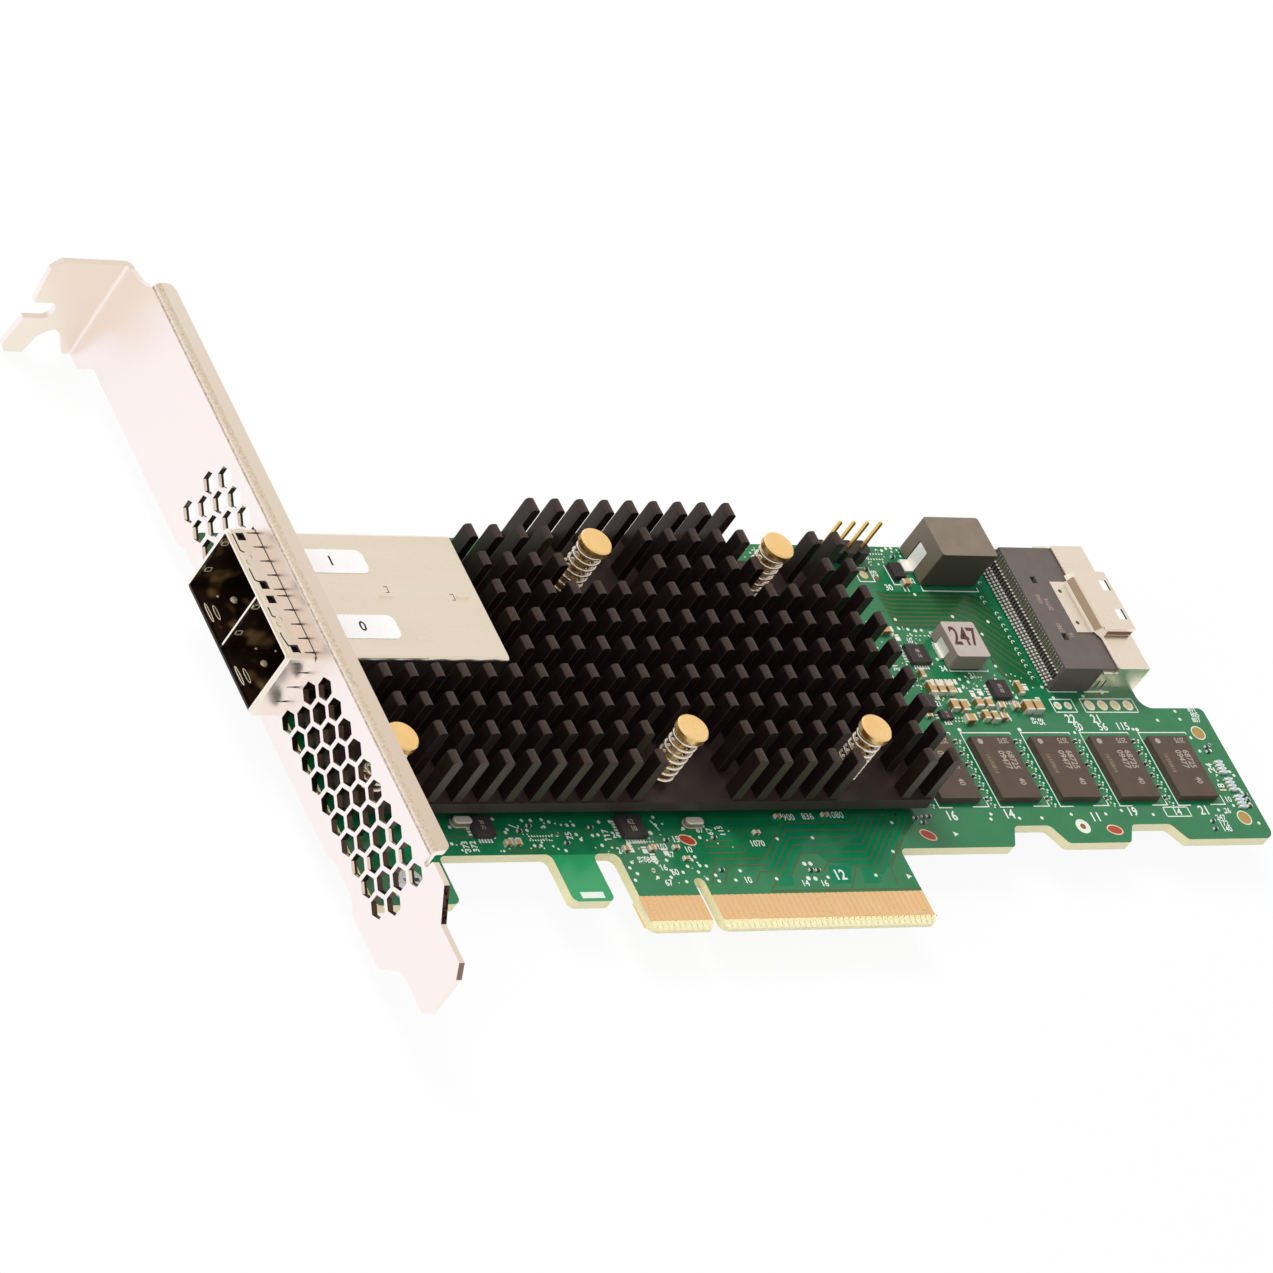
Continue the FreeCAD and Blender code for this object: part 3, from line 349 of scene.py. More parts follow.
# Painted shade on the vents' side walls; the toe of the foot and the sheared edge above it are painted darker
# as well.
paint(nickel, region(nickel, X=(-57.0, -56.0), facing=("Y", 0.5, 1.05), **vent_rows), "#54453d")
paint(nickel, region(nickel, X=(-58.0, -56.0), Y=(-14.5, -11.0), Z=(7.0, 11.0), facing=("Y", 0.5, 0.9)),
      "#8d786b")
mottle(nickel, region(nickel, X=(-58.0, -56.0), Y=(-7.0, -2.0), Z=(7.0, 14.6), facing=("Y", 0.5, 0.9)), 0.5,
       ((0.42, "#221512"), (0.6, "#5b443c")))

# Nickel silver, rolled thin and stamped into the cage and shells: as warm and satin, grained along the card.
cage_nickel = surface("stamped_nickel_silver", "#fbf3e8", "#fffaf2", 0.3, 0.05, 0.3, 0.03, 1.0,
                      stretch=(0.25, 1, 1))
# Nothing lights the port pockets but their mouths: brown black with a few warm glints, and hardly metallic.
pocket = region(cage_nickel, X=(-60.9, -38.0), Y=(37.55, 59.25), Z=(0.12, 10.9))
mottle(cage_nickel, pocket, 3.5, ((0.0, "#1c120c"), (0.58, "#2a1c13"), (0.66, "#6f5434"), (0.74, "#a98757")),
       detail=1.0)
# Painted shade darkens the sill across the ports' mouths too.
sill = region(cage_nickel, X=(-61.7, -60.9), Y=(37.7, 59.1), Z=(-0.6, 0.85))
paint(cage_nickel, sill, "#1a110c")
cage_tree = cage_nickel.node_tree
dull = add(cage_tree, "ShaderNodeMath", {"operation": "MAXIMUM"}, {0: pocket, 1: sill})
metal_share = add(cage_tree, "ShaderNodeMath", {"operation": "MULTIPLY_ADD"},
                  {0: dull.outputs[0], 1: -0.85, 2: 1.0})
cage_tree.links.new(metal_share.outputs[0], shader_of(cage_nickel).inputs["Metallic"])
# The socket's ramp turns away from the light, between its latch plate and the raised roof.
paint(cage_nickel, region(cage_nickel, X=(92.42, 93.42), Y=(48.0, 58.0), Z=(5.27, 6.45)), "#b8a591")

# ---------------------------------------------------------------- finishes of the CAD nodes
finishes = {
    "circuit_board": board_green, "edge_contacts": gold,
    "controller_chip": compound_dark, "thermal_pad": pad_grey, "heatsink": anodised,
    "mounting_bracket": nickel, "bracket_screws": zinc,
    "cage_shell": cage_nickel, "cage_floor": cage_nickel, "cage_divider": cage_nickel,
    "emi_collar": cage_nickel, "socket_shell": cage_nickel,
    "socket_housing": socket_black, "socket_contacts": tin,
    "power_coil": ferrite, "power_coil_leads": solder,
    "small_coil": ferrite_light, "small_coil_leads": solder,
    "header_base": header_black, "header_pins": pin_gold, "dual_transistor": compound_dark,
    "crystal_1": can, "crystal_2": can, "capacitor_bodies": ceramic, "capacitor_ends": tin}
for number in range(1, 6):
    finishes["push_pin_%d" % number] = brass
    finishes["pin_spring_%d" % number] = wire
    finishes["memory_chip_%d" % number] = compound
    finishes["power_chip_%d" % number] = compound_dark
for number in (1, 2):
    finishes["port_receptacle_%d" % number] = port_black
    finishes["port_contacts_%d" % number] = pin_gold
    finishes["port_label_%d" % number] = paper
for name, material in finishes.items():
    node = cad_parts[name]
    node.data.materials.clear()
    node.data.materials.append(material)


# ---------------------------------------------------------------- pieces of surface detail
# Height of a pressed bead above its wall.
bead_proud = 0.06
# A mitre is drawn no longer than this cosine of its half turn allows.
sharpest_mitre = 0.4
# Figures are printed a little bolder than their type, by this share of their size.
stroke_gain = 0.02


class Sheet:
    """Flat and boxy detail collected into one mesh, in card millimetres."""

    def __init__(self):
        self.mesh = bmesh.new()

    def face(self, points):
        self.mesh.faces.new([self.mesh.verts.new([c * MM for c in p]) for p in points])

    def rect(self, x, y, z):
        self.face([(x[0], y[0], z), (x[1], y[0], z), (x[1], y[1], z), (x[0], y[1], z)])

    def box(self, x, y, z):
        """Box with an open underside."""
        corners = [(x[i], y[j], z[k]) for k in (0, 1) for j in (0, 1) for i in (0, 1)]
        for face in ((4, 5, 7, 6), (0, 1, 5, 4), (1, 3, 7, 5), (3, 2, 6, 7), (2, 0, 4, 6)):
            self.face([corners[i] for i in face])

    def area(self, corners, z):
        self.face([(x, y, z) for x, y in corners])

    def wall(self, corners, y):
        """Upright face across Y, from (x, z) corners."""
        self.face([(x, y, z) for x, z in corners])

    def disc(self, x, y, z, r, sides=12):
        self.oval(x, y, z, r, r, 0, sides)

    def oval(self, x, y, z, long, short, turn, sides=20):
        """Flat oval whose long radius lies turn degrees from X."""
        c, s = math.cos(math.radians(turn)), math.sin(math.radians(turn))
        turns = [math.tau * i / sides for i in range(sides)]
        spots = [(long * math.cos(t), short * math.sin(t)) for t in turns]
        self.face([(x + a * c - b * s, y + a * s + b * c, z) for a, b in spots])

    def arc(self, x, y, z, r, inner, start, sweep, sides=8):
        """Part of a ring, from start degrees and over sweep degrees."""
        turns = [math.radians(start + sweep * i / sides) for i in range(sides + 1)]
        for a, b in zip(turns, turns[1:]):
            self.face([(x + q * math.cos(t), y + q * math.sin(t), z)
                       for q, t in ((inner, a), (r, a), (r, b), (inner, b))])

    def ring(self, x, y, z, r, inner, sides=20):
        self.arc(x, y, z, r, inner, 0, 360, sides)

    def dome(self, x, y, z, r, height, sides=12):
        """Low rounded bump, in three rings."""
        rings = [(r * math.cos(t), height * math.sin(t)) for t in (0.0, 0.6, 1.1)]
        for (r1, h1), (r2, h2) in zip(rings, rings[1:]):
            for i in range(sides):
                a, b = math.tau * i / sides, math.tau * (i + 1) / sides
                self.face([(x + q * math.cos(t), y + q * math.sin(t), z + h)
                           for q, t, h in ((r1, a, h1), (r1, b, h1), (r2, b, h2), (r2, a, h2))])
        r, h = rings[-1]
        self.disc(x, y, z + h, r, sides)

    def loop_on_wall(self, x, y, z, wide, tall, width):
        """Rectangular bead on a wall that faces -Y."""
        across, up = (x - wide, x + wide), (z - tall, z + tall)
        for a, b in ((across, (up[0], up[0] + width)), (across, (up[1] - width, up[1])),
                     ((across[0], across[0] + width), up), ((across[1] - width, across[1]), up)):
            self.box(a, (y - bead_proud, y), b)

    def line(self, points, width, z):
        """Mitred strip along a run of (x, y) points."""
        sides = []
        for i, p in enumerate(points):
            here = Vector(p)
            back = (here - Vector(points[i - 1])).normalized() if i else None
            ahead = (Vector(points[i + 1]) - here).normalized() if i + 1 < len(points) else None
            way = ((back or ahead) + (ahead or back)).normalized()
            across = Vector((-way.y, way.x))
            reached = width / 2 / max(way.dot(ahead or back), sharpest_mitre)
            sides.append((here + across * reached, here - across * reached))
        for (a, b), (c, d) in zip(sides, sides[1:]):
            self.face([(q.x, q.y, z) for q in (b, d, c, a)])

    def outline(self, x, y, width, z):
        """Rectangle drawn with four strips."""
        for run in (((x[0], y[0]), (x[1], y[0])), ((x[0], y[1]), (x[1], y[1])),
                    ((x[0], y[0]), (x[0], y[1])), ((x[1], y[0]), (x[1], y[1]))):
            self.line(run, width, z)

    def words(self, text, x, y, z, size, turn=0.0, wide=1.0):
        """Plain figures standing at (x, y), turned by turn degrees and made wide times as wide."""
        curve = bpy.data.curves.new("figures", "FONT")
        curve.body = text
        curve.size = size * MM
        curve.align_x = "CENTER"
        curve.align_y = "CENTER"
        curve.resolution_u = 3
        curve.offset = stroke_gain * size * MM
        maker = bpy.data.objects.new("figures", curve)
        bpy.context.scene.collection.objects.link(maker)
        bpy.context.view_layer.update()
        shape = bpy.data.meshes.new_from_object(maker.evaluated_get(bpy.context.evaluated_depsgraph_get()))
        shape.transform(Matrix.Translation((x * MM, y * MM, z * MM))
                        @ Matrix.Rotation(math.radians(turn), 4, "Z") @ Matrix.Diagonal((wide, 1, 1, 1)))
        self.mesh.from_mesh(shape)
        bpy.data.objects.remove(maker)
        bpy.data.curves.remove(curve)
        bpy.data.meshes.remove(shape)

    def make(self, name, material):
        data = bpy.data.meshes.new(name)
        self.mesh.to_mesh(data)
        self.mesh.free()
        data.materials.append(material)
        piece = bpy.data.objects.new(name, data)
        bpy.context.scene.collection.objects.link(piece)
        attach(piece, "root")
        return piece


# ---- crystals: drawn oval cans on a flange, rounded at the shoulder
can_sides = 24
# Half the can's length, its end radius and its height, at each bend from the flange to the lid.
can_profile = ((1.75, 0.85, 0.0), (1.75, 0.85, 0.16), (1.6, 0.7, 0.18), (1.6, 0.7, 0.7), (1.54, 0.64, 0.85),
               (1.4, 0.5, 0.93))
cans = Sheet()
for x, y in ((-35.8, 18.2), (3.8, 17.6)):
    loops = []
    for half, r, z in can_profile:
        turns = [math.tau * (i + 0.5) / can_sides for i in range(can_sides)]
        loops.append([(x + math.copysign(half - r, math.cos(t)) + r * math.cos(t), y + r * math.sin(t), z)
                      for t in turns])
    for lower, upper in zip(loops, loops[1:]):
        for i in range(can_sides):
            j = (i + 1) % can_sides
            cans.face([lower[i], lower[j], upper[j], upper[i]])
    cans.face(loops[-1])
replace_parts(cans.make("crystal_cans", can), "crystal_1", "crystal_2")

# Heights of the films above the board's mask, and the rise from one film to another that lies on it.
GAP, TRACE, VIA, PAD, PRINT = 0.008, 0.012, 0.02, 0.025, 0.035
RISE = 0.004
# Height of a mark above the part that carries it.
MARK = 0.01

# ---- copper seen through the mask
gaps = Sheet()
gaps.area([(12.6, 9.8), (17.2, 14.6), (19.3, 19.4), (43.7, 19.4), (43.5, 17.4), (36.4, 10.6), (33.2, 8.3),
           (29.6, 9.9), (28.6, 10.6), (24.6, 10.6), (23.4, 12.2), (20.6, 12.2), (16.9, 8.8),
           (14.6, 8.8)], GAP)
gaps.area([(13.6, 6.8), (16.4, 6.8), (16.9, 8.6), (14.6, 8.7)], GAP)
gaps.area([(23.4, 7.0), (26.9, 7.0), (28.2, 10.0), (24.2, 10.2)], GAP)
gaps.area([(29.2, 7.0), (31.8, 7.0), (33.0, 8.0), (30.0, 9.7)], GAP)
gaps.make("mask_dark_areas", over_gaps)
under_bundle = Sheet()
under_bundle.area([(60.4, 59.9), (78.4, 59.9), (81.2, 56.6), (82.3, 52.0), (82.3, 42.2), (77.2, 42.6),
                   (75.4, 45.0), (75.2, 52.6), (60.4, 53.0)], GAP)
under_bundle.make("mask_under_bundle", over_bundle)

tracks = Sheet()
track_width = 0.24
# The bus runs from the contacts to the heatsink: seven tracks that leave the vias, run level, then bend up.
bus_step = 1.29
bus_top = 17.65
bus_bend = 32.4
bus_end = 19.3
bus_starts = (((2.1, 7.3), (4.8, 11.5), (13.6, 11.5)), ((4.2, 7.2), (6.5, 10.4), (13.8, 10.4)),
              ((9.7, 7.1), (11.5, 9.3), (14.0, 9.3)), ((12.2, 6.4), (13.8, 7.7)), ((16.9, 8.7), (19.3, 11.2)),
              ((22.8, 9.1),), ((26.5, 6.2),))
bus_turns = (19.8, 19.8, 19.8, 19.9, 20.6, 25.0, 29.1)
for i, (starts, turn) in enumerate(zip(bus_starts, bus_turns)):
    level = bus_top - bus_step * i
    climb = bus_end - level
    run = list(starts) + [(turn, level), (bus_bend, level), (bus_bend + climb, bus_end)]
    tracks.line(run, track_width, TRACE)
# The bundle from the controller chip to the cable socket runs between the two coils, then fans out.
bundle_start = ((60.2, 59.7), (61.8, 59.2))
bundle_step = 0.8
fan_turn, fan_turn_step = 77.1, 1.05
fan_end, fan_end_step = (80.6, 56.6), 1.72
# Each track bends again at this share of its way from its turn to its end.
knee_along, knee_down = 0.42, 0.22
for i in range(8):
    start, level_start = ((x, y - bundle_step * i) for x, y in bundle_start)
    turn = (fan_turn - fan_turn_step * i, level_start[1])
    end = (fan_end[0], fan_end[1] - fan_end_step * i)
    knee = (turn[0] + (end[0] - turn[0]) * knee_along, turn[1] + (end[1] - turn[1]) * knee_down)
    tracks.line([start, level_start, turn, knee, end], track_width, TRACE)
for run in (((32.4, 8.6), (41.4, 17.8), (41.4, 19.3)), ((35.6, 10.4), (42.8, 17.9), (42.8, 19.3)),
            ((35.0, 6.7), (35.4, 9.6), (37.6, 11.9), (43.9, 18.0), (44.2, 19.3)),
            ((4.0, 12.6), (10.6, 12.6), (11.0, 13.2)), ((4.2, 13.7), (11.0, 13.7)),
            ((4.6, 14.7), (9.4, 14.7)), ((11.6, 5.9), (38.9, 5.9)), ((58.6, 56.2), (59.9, 56.2)),
            ((75.8, 47.5), (76.2, 45.0), (77.3, 43.8)), ((-38.5, 15.9), (-30.8, 15.9)),
            ((-30.5, 13.4), (-25.5, 13.4), (-24.8, 14.0))):
    tracks.line(run, track_width, TRACE)
tracks.make("mask_over_tracks", over_tracks)

# ---- tented vias
vias = Sheet()
# The vias that are large enough to be placed one by one.
placed_vias = (
    (17.6, 14.9), (13.8, 8.0), (24.0, 15.0), (23.1, 8.1), (31.9, 8.3), (37.3, 12.4), (39.9, 17.5),
    (-10.0, 11.2), (-10.8, 10.3), (-10.0, 9.3), (-10.9, 8.2), (-6.8, 8.6), (-6.9, 9.9), (-4.5, 8.6),
    (-2.0, 9.4), (-2.2, 7.8), (1.5, 10.5), (2.6, 10.4), (0.7, 9.4), (1.6, 8.2), (3.4, 8.8), (3.5, 7.8),
    (4.0, 15.3), (1.4, 12.0), (0.6, 11.5), (-13.6, 14.2), (-5.8, 11.1), (6.5, 7.9), (8.1, 9.5),
    (-38.8, 14.8), (-25.1, 14.3), (-24.0, 14.3), (-14.4, 15.9), (-13.4, 16.0), (-20.5, 16.0), (-17.1, 16.1),
    (-16.7, 15.2), (-28.9, 16.6), (-30.0, 18.9), (-28.4, 17.1), (-31.2, 15.8), (-37.8, 17.6), (-25.2, 18.6),
    (-23.7, 18.6), (-21.8, 18.7), (-20.7, 18.3), (-21.9, 17.5), (-25.1, 16.9), (-20.2, 13.4), (-17.9, 17.7),
    (-16.8, 17.7), (-12.2, 18.2), (-10.3, 18.2), (-2.4, 18.9), (-2.6, 17.6), (1.9, 16.9), (5.6, 17.3),
    (-7.0, 9.7), (-3.8, 11.5), (-0.7, 10.4), (67.5, 59.4), (72.5, 55.3), (61.1, 54.6), (78.9, 54.4),
    (76.4, 52.0), (60.8, 52.9), (62.5, 52.8), (63.8, 52.5), (65.0, 52.6), (65.0, 47.2), (75.6, 46.0),
    (82.4, 42.1), (83.5, 40.1), (74.2, 43.5), (67.2, 43.5), (67.2, 42.2), (68.6, 43.0), (76.3, 40.1),
    (64.7, 67.7), (65.7, 67.7), (66.7, 68.1), (67.7, 68.2), (89.5, 40.4), (101.7, 35.9), (95.8, 34.2),
    (83.9, 33.6), (110.4, 26.2), (110.8, 25.5), (110.3, 22.9), (110.5, 22.4), (110.4, 16.6), (106.4, 32.6),
    (109.4, 31.3), (108.9, 30.2), (110.9, 21.2), (110.8, 20.2), (107.3, 19.9), (106.7, 30.1), (109.3, 31.2),
    (106.3, 36.1), (106.2, 37.6), (59.2, 18.8), (58.7, 17.9), (64.2, 18.0), (68.5, 18.0), (74.5, 18.6),
    (81.2, 18.6), (90.4, 18.4), (84.6, 19.2), (103.8, 19.1))
for x, y in placed_vias:
    vias.disc(x, y, VIA, 0.29, 10)
for x, y in ((20.1, 10.5), (21.2, 10.5), (19.5, 8.0), (20.7, 7.9), (-9.0, 14.3), (-4.2, 16.2)):
    vias.disc(x, y, VIA, 0.38)
# Rows of fine vias: where each starts and ends, and how many it holds.
dot_rows = (((-7.8, 14.7), (-4.5, 14.7), 7), ((-25.3, 15.9), (-21.4, 15.9), 9),
            ((-25.4, 15.2), (-22.1, 15.2), 8), ((62.2, 66.0), (64.9, 66.0), 6),
            ((62.6, 67.0), (65.3, 67.0), 6), ((69.6, 43.9), (71.6, 43.9), 5),
            ((60.5, 36.3), (65.5, 36.3), 9), ((60.9, 35.7), (65.9, 35.7), 9),
            ((61.8, 51.6), (65.8, 51.6), 6))
for start, end, count in dot_rows:
    for i in range(count):
        spot = Vector(start).lerp(Vector(end), i / (count - 1))
        vias.disc(spot.x, spot.y, VIA, 0.16, 8)
# Fine vias run in threes down the left side of each memory chip.
memory = [reach("memory_chip_%d" % number) for number in range(1, 6)]
memory_lefts = [chip[0][0] for chip in memory]
memory_low, memory_high = memory[0][1]
memory_top = memory[0][2][1]
threes_a_side, threes_pitch = 10, 1.3
for left in memory_lefts:
    for i in range(threes_a_side):
        x, y = left - 1.4, memory_low - 0.58 + threes_pitch * i
        vias.disc(x + 0.32, y + 0.12, VIA, 0.2, 8)
        vias.disc(x - 0.3, y + 0.34, VIA, 0.14, 6)
        vias.disc(x + 0.1, y - 0.3, VIA, 0.16, 6)
# Small vias crowd round the power stages and the chips in front of the heatsink.
scatter = random.Random(7)
for x, y, count in (((-27.0, -11.5), (13.4, 18.4), 34), ((-14.5, 10.0), (12.8, 18.0), 18),
                    ((59.6, 81.0), (37.0, 44.6), 60), ((-39.5, -29.5), (13.2, 14.8), 10),
                    ((60.0, 66.0), (50.0, 53.5), 16), ((59.6, 69.0), (64.9, 67.9), 22),
                    ((-11.4, 8.0), (7.4, 12.4), 10), ((104.6, 108.0), (18.0, 31.0), 10),
                    ((53.0, 59.0), (49.0, 54.6), 26), ((54.0, 59.2), (40.2, 47.6), 34),
                    ((38.4, 42.0), (64.6, 67.8), 16)):
    for i in range(count):
        vias.disc(scatter.uniform(*x), scatter.uniform(*y), VIA, scatter.choice((0.11, 0.14, 0.2)), 8)

# ---- cable socket: rows of solder feet before its housing, and the upright strips of its contacts
socket_x, socket_y, socket_z = reach("socket_housing")
socket_back = socket_x[0]
ways = 37
way_pitch = 0.6
# A foot of each row: its reach from the housing's back, its shift along it, half its width and its heights.
foot_rows = (((-0.4, -0.02), 0.0, 0.15, (0.36, 0.54)), ((-0.36, -0.02), 0.28, 0.16, (1.04, 1.22)),
             ((-0.32, -0.02), 0.0, 0.15, (1.66, 1.82)), ((-0.2, 0.03), 0.0, 0.12, (3.14, 3.28)),
             ((-0.04, 0.12), 0.0, 0.08, (4.62, 4.7)))
strip_row = ((0.03, 0.12), 0.0, 0.09, (3.28, 4.62))
feet = Sheet()
strips = Sheet()
for i in range(ways):
    way = sum(socket_y) / 2 + way_pitch * (i - (ways - 1) / 2)
    for sheet, rows in ((feet, foot_rows), (strips, (strip_row,))):
        for (near, far), shift, half, heights in rows:
            y = way + shift
            sheet.box((socket_back + near, socket_back + far), (y - half, y + half), heights)
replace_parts(feet.make("socket_solder_feet", solder), "socket_contacts")
strips.make("socket_contact_strips", shaded_tin)
# The pairs of vias that feed them show as broken rings.
for x, y in [(81.6, 55.9 - 2.25 * i) for i in range(6)] + [(80.4, 58.9), (81.5, 62.6)]:
    vias.arc(x - 0.05, y, VIA, 0.42, 0.26, 20, 200)
    vias.arc(x + 0.05, y - 0.9, VIA, 0.42, 0.26, 20, 200)
vias.make("tented_vias", via_metal)

# ---- white print
white = Sheet()
line_width = 0.2
# Each memory chip stands in a broken frame, with a dot at one corner.
low, high = memory_low - 0.88, memory_high + 1.48
for left in memory_lefts:
    white.line([(left + 9.2, high - 0.35), (left + 9.15, high), (left - 0.28, high), (left - 0.28, low),
                (left + 2.2, low)], line_width, PRINT)
    white.line([(left + 6.1, low + 0.1), (left + 9.15, low + 0.1), (left + 9.05, low + 1.8)],
               line_width, PRINT)
    white.disc(left - 0.11, high + 0.55, PRINT, 0.36)
for run in (((70.4, 68.4), (69.5, 68.4), (69.5, 65.9)),
            ((69.6, 62.8), (69.5, 60.1), (80.3, 60.1), (80.3, 60.9)),
            ((66.9, 52.3), (66.3, 52.3), (66.3, 51.2)),
            ((66.2, 47.5), (66.3, 45.0), (73.6, 45.0), (73.6, 45.3)),
            ((59.4, 49.8), (59.4, 46.5), (63.8, 46.5)),
            ((59.7, 64.3), (61.2, 64.3), (61.2, 61.7), (58.3, 61.7), (58.3, 64.3), (59.7, 64.3)),
            ((64.5, 64.9), (64.6, 61.2), (67.4, 61.2)), ((socket_back, 41.2), (88.8, 41.2)),
            ((90.1, 41.2), (95.1, 41.2)), ((socket_back, 41.9), (socket_back, 41.2)),
            ((88.9, 65.2), (91.2, 65.2)), ((89.0, 64.8), (89.0, 65.2)), ((-34.1, 16.8), (-30.7, 16.8)),
            ((-42.2, 18.3), (-41.1, 16.0)), ((-27.8, 17.9), (-26.4, 17.2)), ((-3.2, 18.4), (-2.4, 16.6))):
    white.line(run, line_width, PRINT)
for x, y in (((82.45, 86.7), (37.4, 39.8)), ((88.4, 98.8), (37.4, 39.9)), ((93.0, 97.8), (18.0, 19.7))):
    white.outline(x, y, line_width, PRINT)
white.rect((-21.4, -17.5), (5.3, 6.35), PRINT)
for x, y, size in ((50.7, 15.3, 0.45), (37.9, 8.0, 0.45), (93.9, 41.2, 0.5), (-41.6, 15.3, 0.3)):
    white.area([(x - size, y - size), (x + size, y), (x - size, y + size)], PRINT + RISE)
# A row of lead marks ends the outline of a chip.
for i in range(8):
    x = 60.0 + 0.48 * i
    white.rect((x, x + 0.25), (46.05, 46.4), PRINT)

# Part numbers beside the small parts: plain figures only, each with its place and height.
figure_scale = 1.22
figure_width = 0.9
figures_level = (
    ("12", 25.4, 8.4, 2.0), ("14", 18.5, 7.1, 1.25), ("16", 21.9, 7.0, 1.25), ("900", 21.6, 18.6, 1.3),
    ("836", 25.1, 18.7, 1.3), ("1080", 30.3, 18.9, 1.3), ("24", -10.8, 13.2, 1.25), ("16", -5.0, 10.2, 1.2),
    ("886", -6.2, 11.6, 1.15), ("60", -3.4, 9.4, 1.2), ("67", -5.4, 7.6, 1.2), ("10", 0.9, 13.2, 1.2),
    ("15", -0.4, 15.0, 1.2), ("1070", 13.6, 14.1, 1.2), ("10", 8.6, 7.8, 1.25), ("87", 4.6, 16.6, 1.2),
    ("24", -10.4, 15.9, 1.2), ("30", 63.2, 60.6, 1.3), ("11", 66.4, 60.4, 1.3), ("10", 61.6, 50.6, 1.1),
    ("34", 65.2, 45.4, 1.2), ("31", 70.1, 44.1, 1.3), ("16", 60.0, 42.2, 1.0), ("21", 60.6, 38.9, 1.1),
    ("55", 69.7, 35.9, 1.2), ("54", 72.4, 36.2, 1.2), ("57", 75.0, 39.0, 1.1), ("97", 72.0, 37.3, 1.2),
    ("22", 84.6, 36.1, 1.8), ("21", 89.6, 36.1, 1.8), ("50", 85.2, 34.6, 1.5), ("56", 90.0, 34.6, 1.6),
    ("115", 94.0, 34.7, 1.6), ("801", 109.7, 37.9, 1.0), ("805", 109.8, 36.9, 1.0),
    ("807", 109.5, 35.9, 1.0), ("11", 78.9, 18.0, 1.9), ("19", 86.6, 18.9, 1.8), ("21", 100.9, 19.0, 1.9),
    ("14", 95.4, 18.8, 1.5), ("26", 105.5, 18.9, 1.1), ("247", 103.4, 17.65, 1.15),
    ("172", 103.4, 16.6, 1.15), ("140", 103.4, 15.55, 1.15), ("10", 106.9, 21.0, 1.2),
    ("16", 51.6, 18.5, 1.9), ("14", 62.6, 18.7, 1.9), ("67", -2.6, 12.4, 1.1), ("103", -3.4, 13.8, 1.1))
figures_upright = (
    ("373", -36.6, 14.3, 1.15), ("372", -35.2, 14.3, 1.15), ("75", -18.4, 15.9, 1.2),
    ("117", -11.9, 15.9, 1.2), ("39", -8.2, 11.6, 1.1), ("38", -7.4, 11.6, 1.1), ("25", 68.4, 62.0, 1.1),
    ("28", 61.9, 63.2, 1.2), ("32", 71.8, 42.0, 1.1), ("53", 67.6, 36.9, 1.1), ("54", 69.2, 38.9, 1.0),
    ("59", 77.3, 35.8, 1.2), ("58", 78.6, 35.6, 1.2), ("115", 8.4, 16.4, 1.1), ("67", 6.3, 16.3, 1.1),
    ("24", 107.0, 27.0, 1.5), ("18", 107.1, 23.2, 1.5), ("27", 54.6, 51.0, 1.2), ("31", 56.2, 45.6, 1.2),
    ("33", 57.2, 42.6, 1.2))
for figures, turn in ((figures_level, 0), (figures_upright, 90)):
    for text, x, y, size in figures:
        white.words(text, x, y, PRINT, size * figure_scale, turn, figure_width)
white.make("board_print", print_white)

# ---- bare pads and empty footprints
pads = Sheet()
# Two rows of six pads carry the row of capacitors that is flooded with solder.
row_left, row_pitch, row_pad = 61.5, 0.86, 0.6
for i in range(6):
    x = row_left + row_pitch * i
    for y in ((42.5, 43.5), (41.0, 41.9)):
        pads.rect((x, x + row_pad), y, PAD)
for x, y in ((64.5, 39.0), (66.1, 39.0), (69.0, 39.4), (70.6, 39.4), (68.2, 40.6), (69.8, 40.9),
             (77.9, 42.5), (79.1, 41.9), (-9.0, 13.3), (-3.2, 12.7), (-5.8, 11.9), (-6.7, 13.1),
             (-28.5, 14.9), (-27.3, 14.9), (58.9, 52.0), (59.6, 51.0), (80.3, 39.4), (61.0, 40.1)):
    pads.rect((x - 0.45, x + 0.45), (y - 0.4, y + 0.4), PAD)
    pads.rect((x - 0.45, x + 0.45), (y + 0.5, y + 0.8), PAD)

power_lead_pitch = 0.5
power_corner = 0.4


def lead_spots(side):
    """Middles of the leads along one side of a power chip, which keep clear of its corners."""
    leads = int((side[1] - side[0] - power_corner) / power_lead_pitch)
    return [sum(side) / 2 + power_lead_pitch * (i - (leads - 1) / 2) for i in range(leads)]


# The toes reach further on the two sides that are seen from the front.
for number in range(1, 6):
    chip_x, chip_y = reach("power_chip_%d" % number)[:2]
    for x in lead_spots(chip_x):
        pads.rect((x - 0.17, x + 0.17), (chip_y[0] - 0.78, chip_y[0] - 0.12), PAD)
        pads.rect((x - 0.13, x + 0.13), (chip_y[1] + 0.08, chip_y[1] + 0.4), PAD)
    for y in lead_spots(chip_y):
        pads.rect((chip_x[0] - 0.7, chip_x[0] - 0.1), (y - 0.17, y + 0.17), PAD)
        pads.rect((chip_x[1] + 0.08, chip_x[1] + 0.4), (y - 0.13, y + 0.13), PAD)
pads.make("tinned_pads", solder)

# The mill that bevels the edge leaves cream teeth between the contacts, and dark nicks at their plated ends.
contact_pitch, contact_gap = 1.0, 0.3
gaps_to_end = 52
key_notch = (-1.6, 1.3)
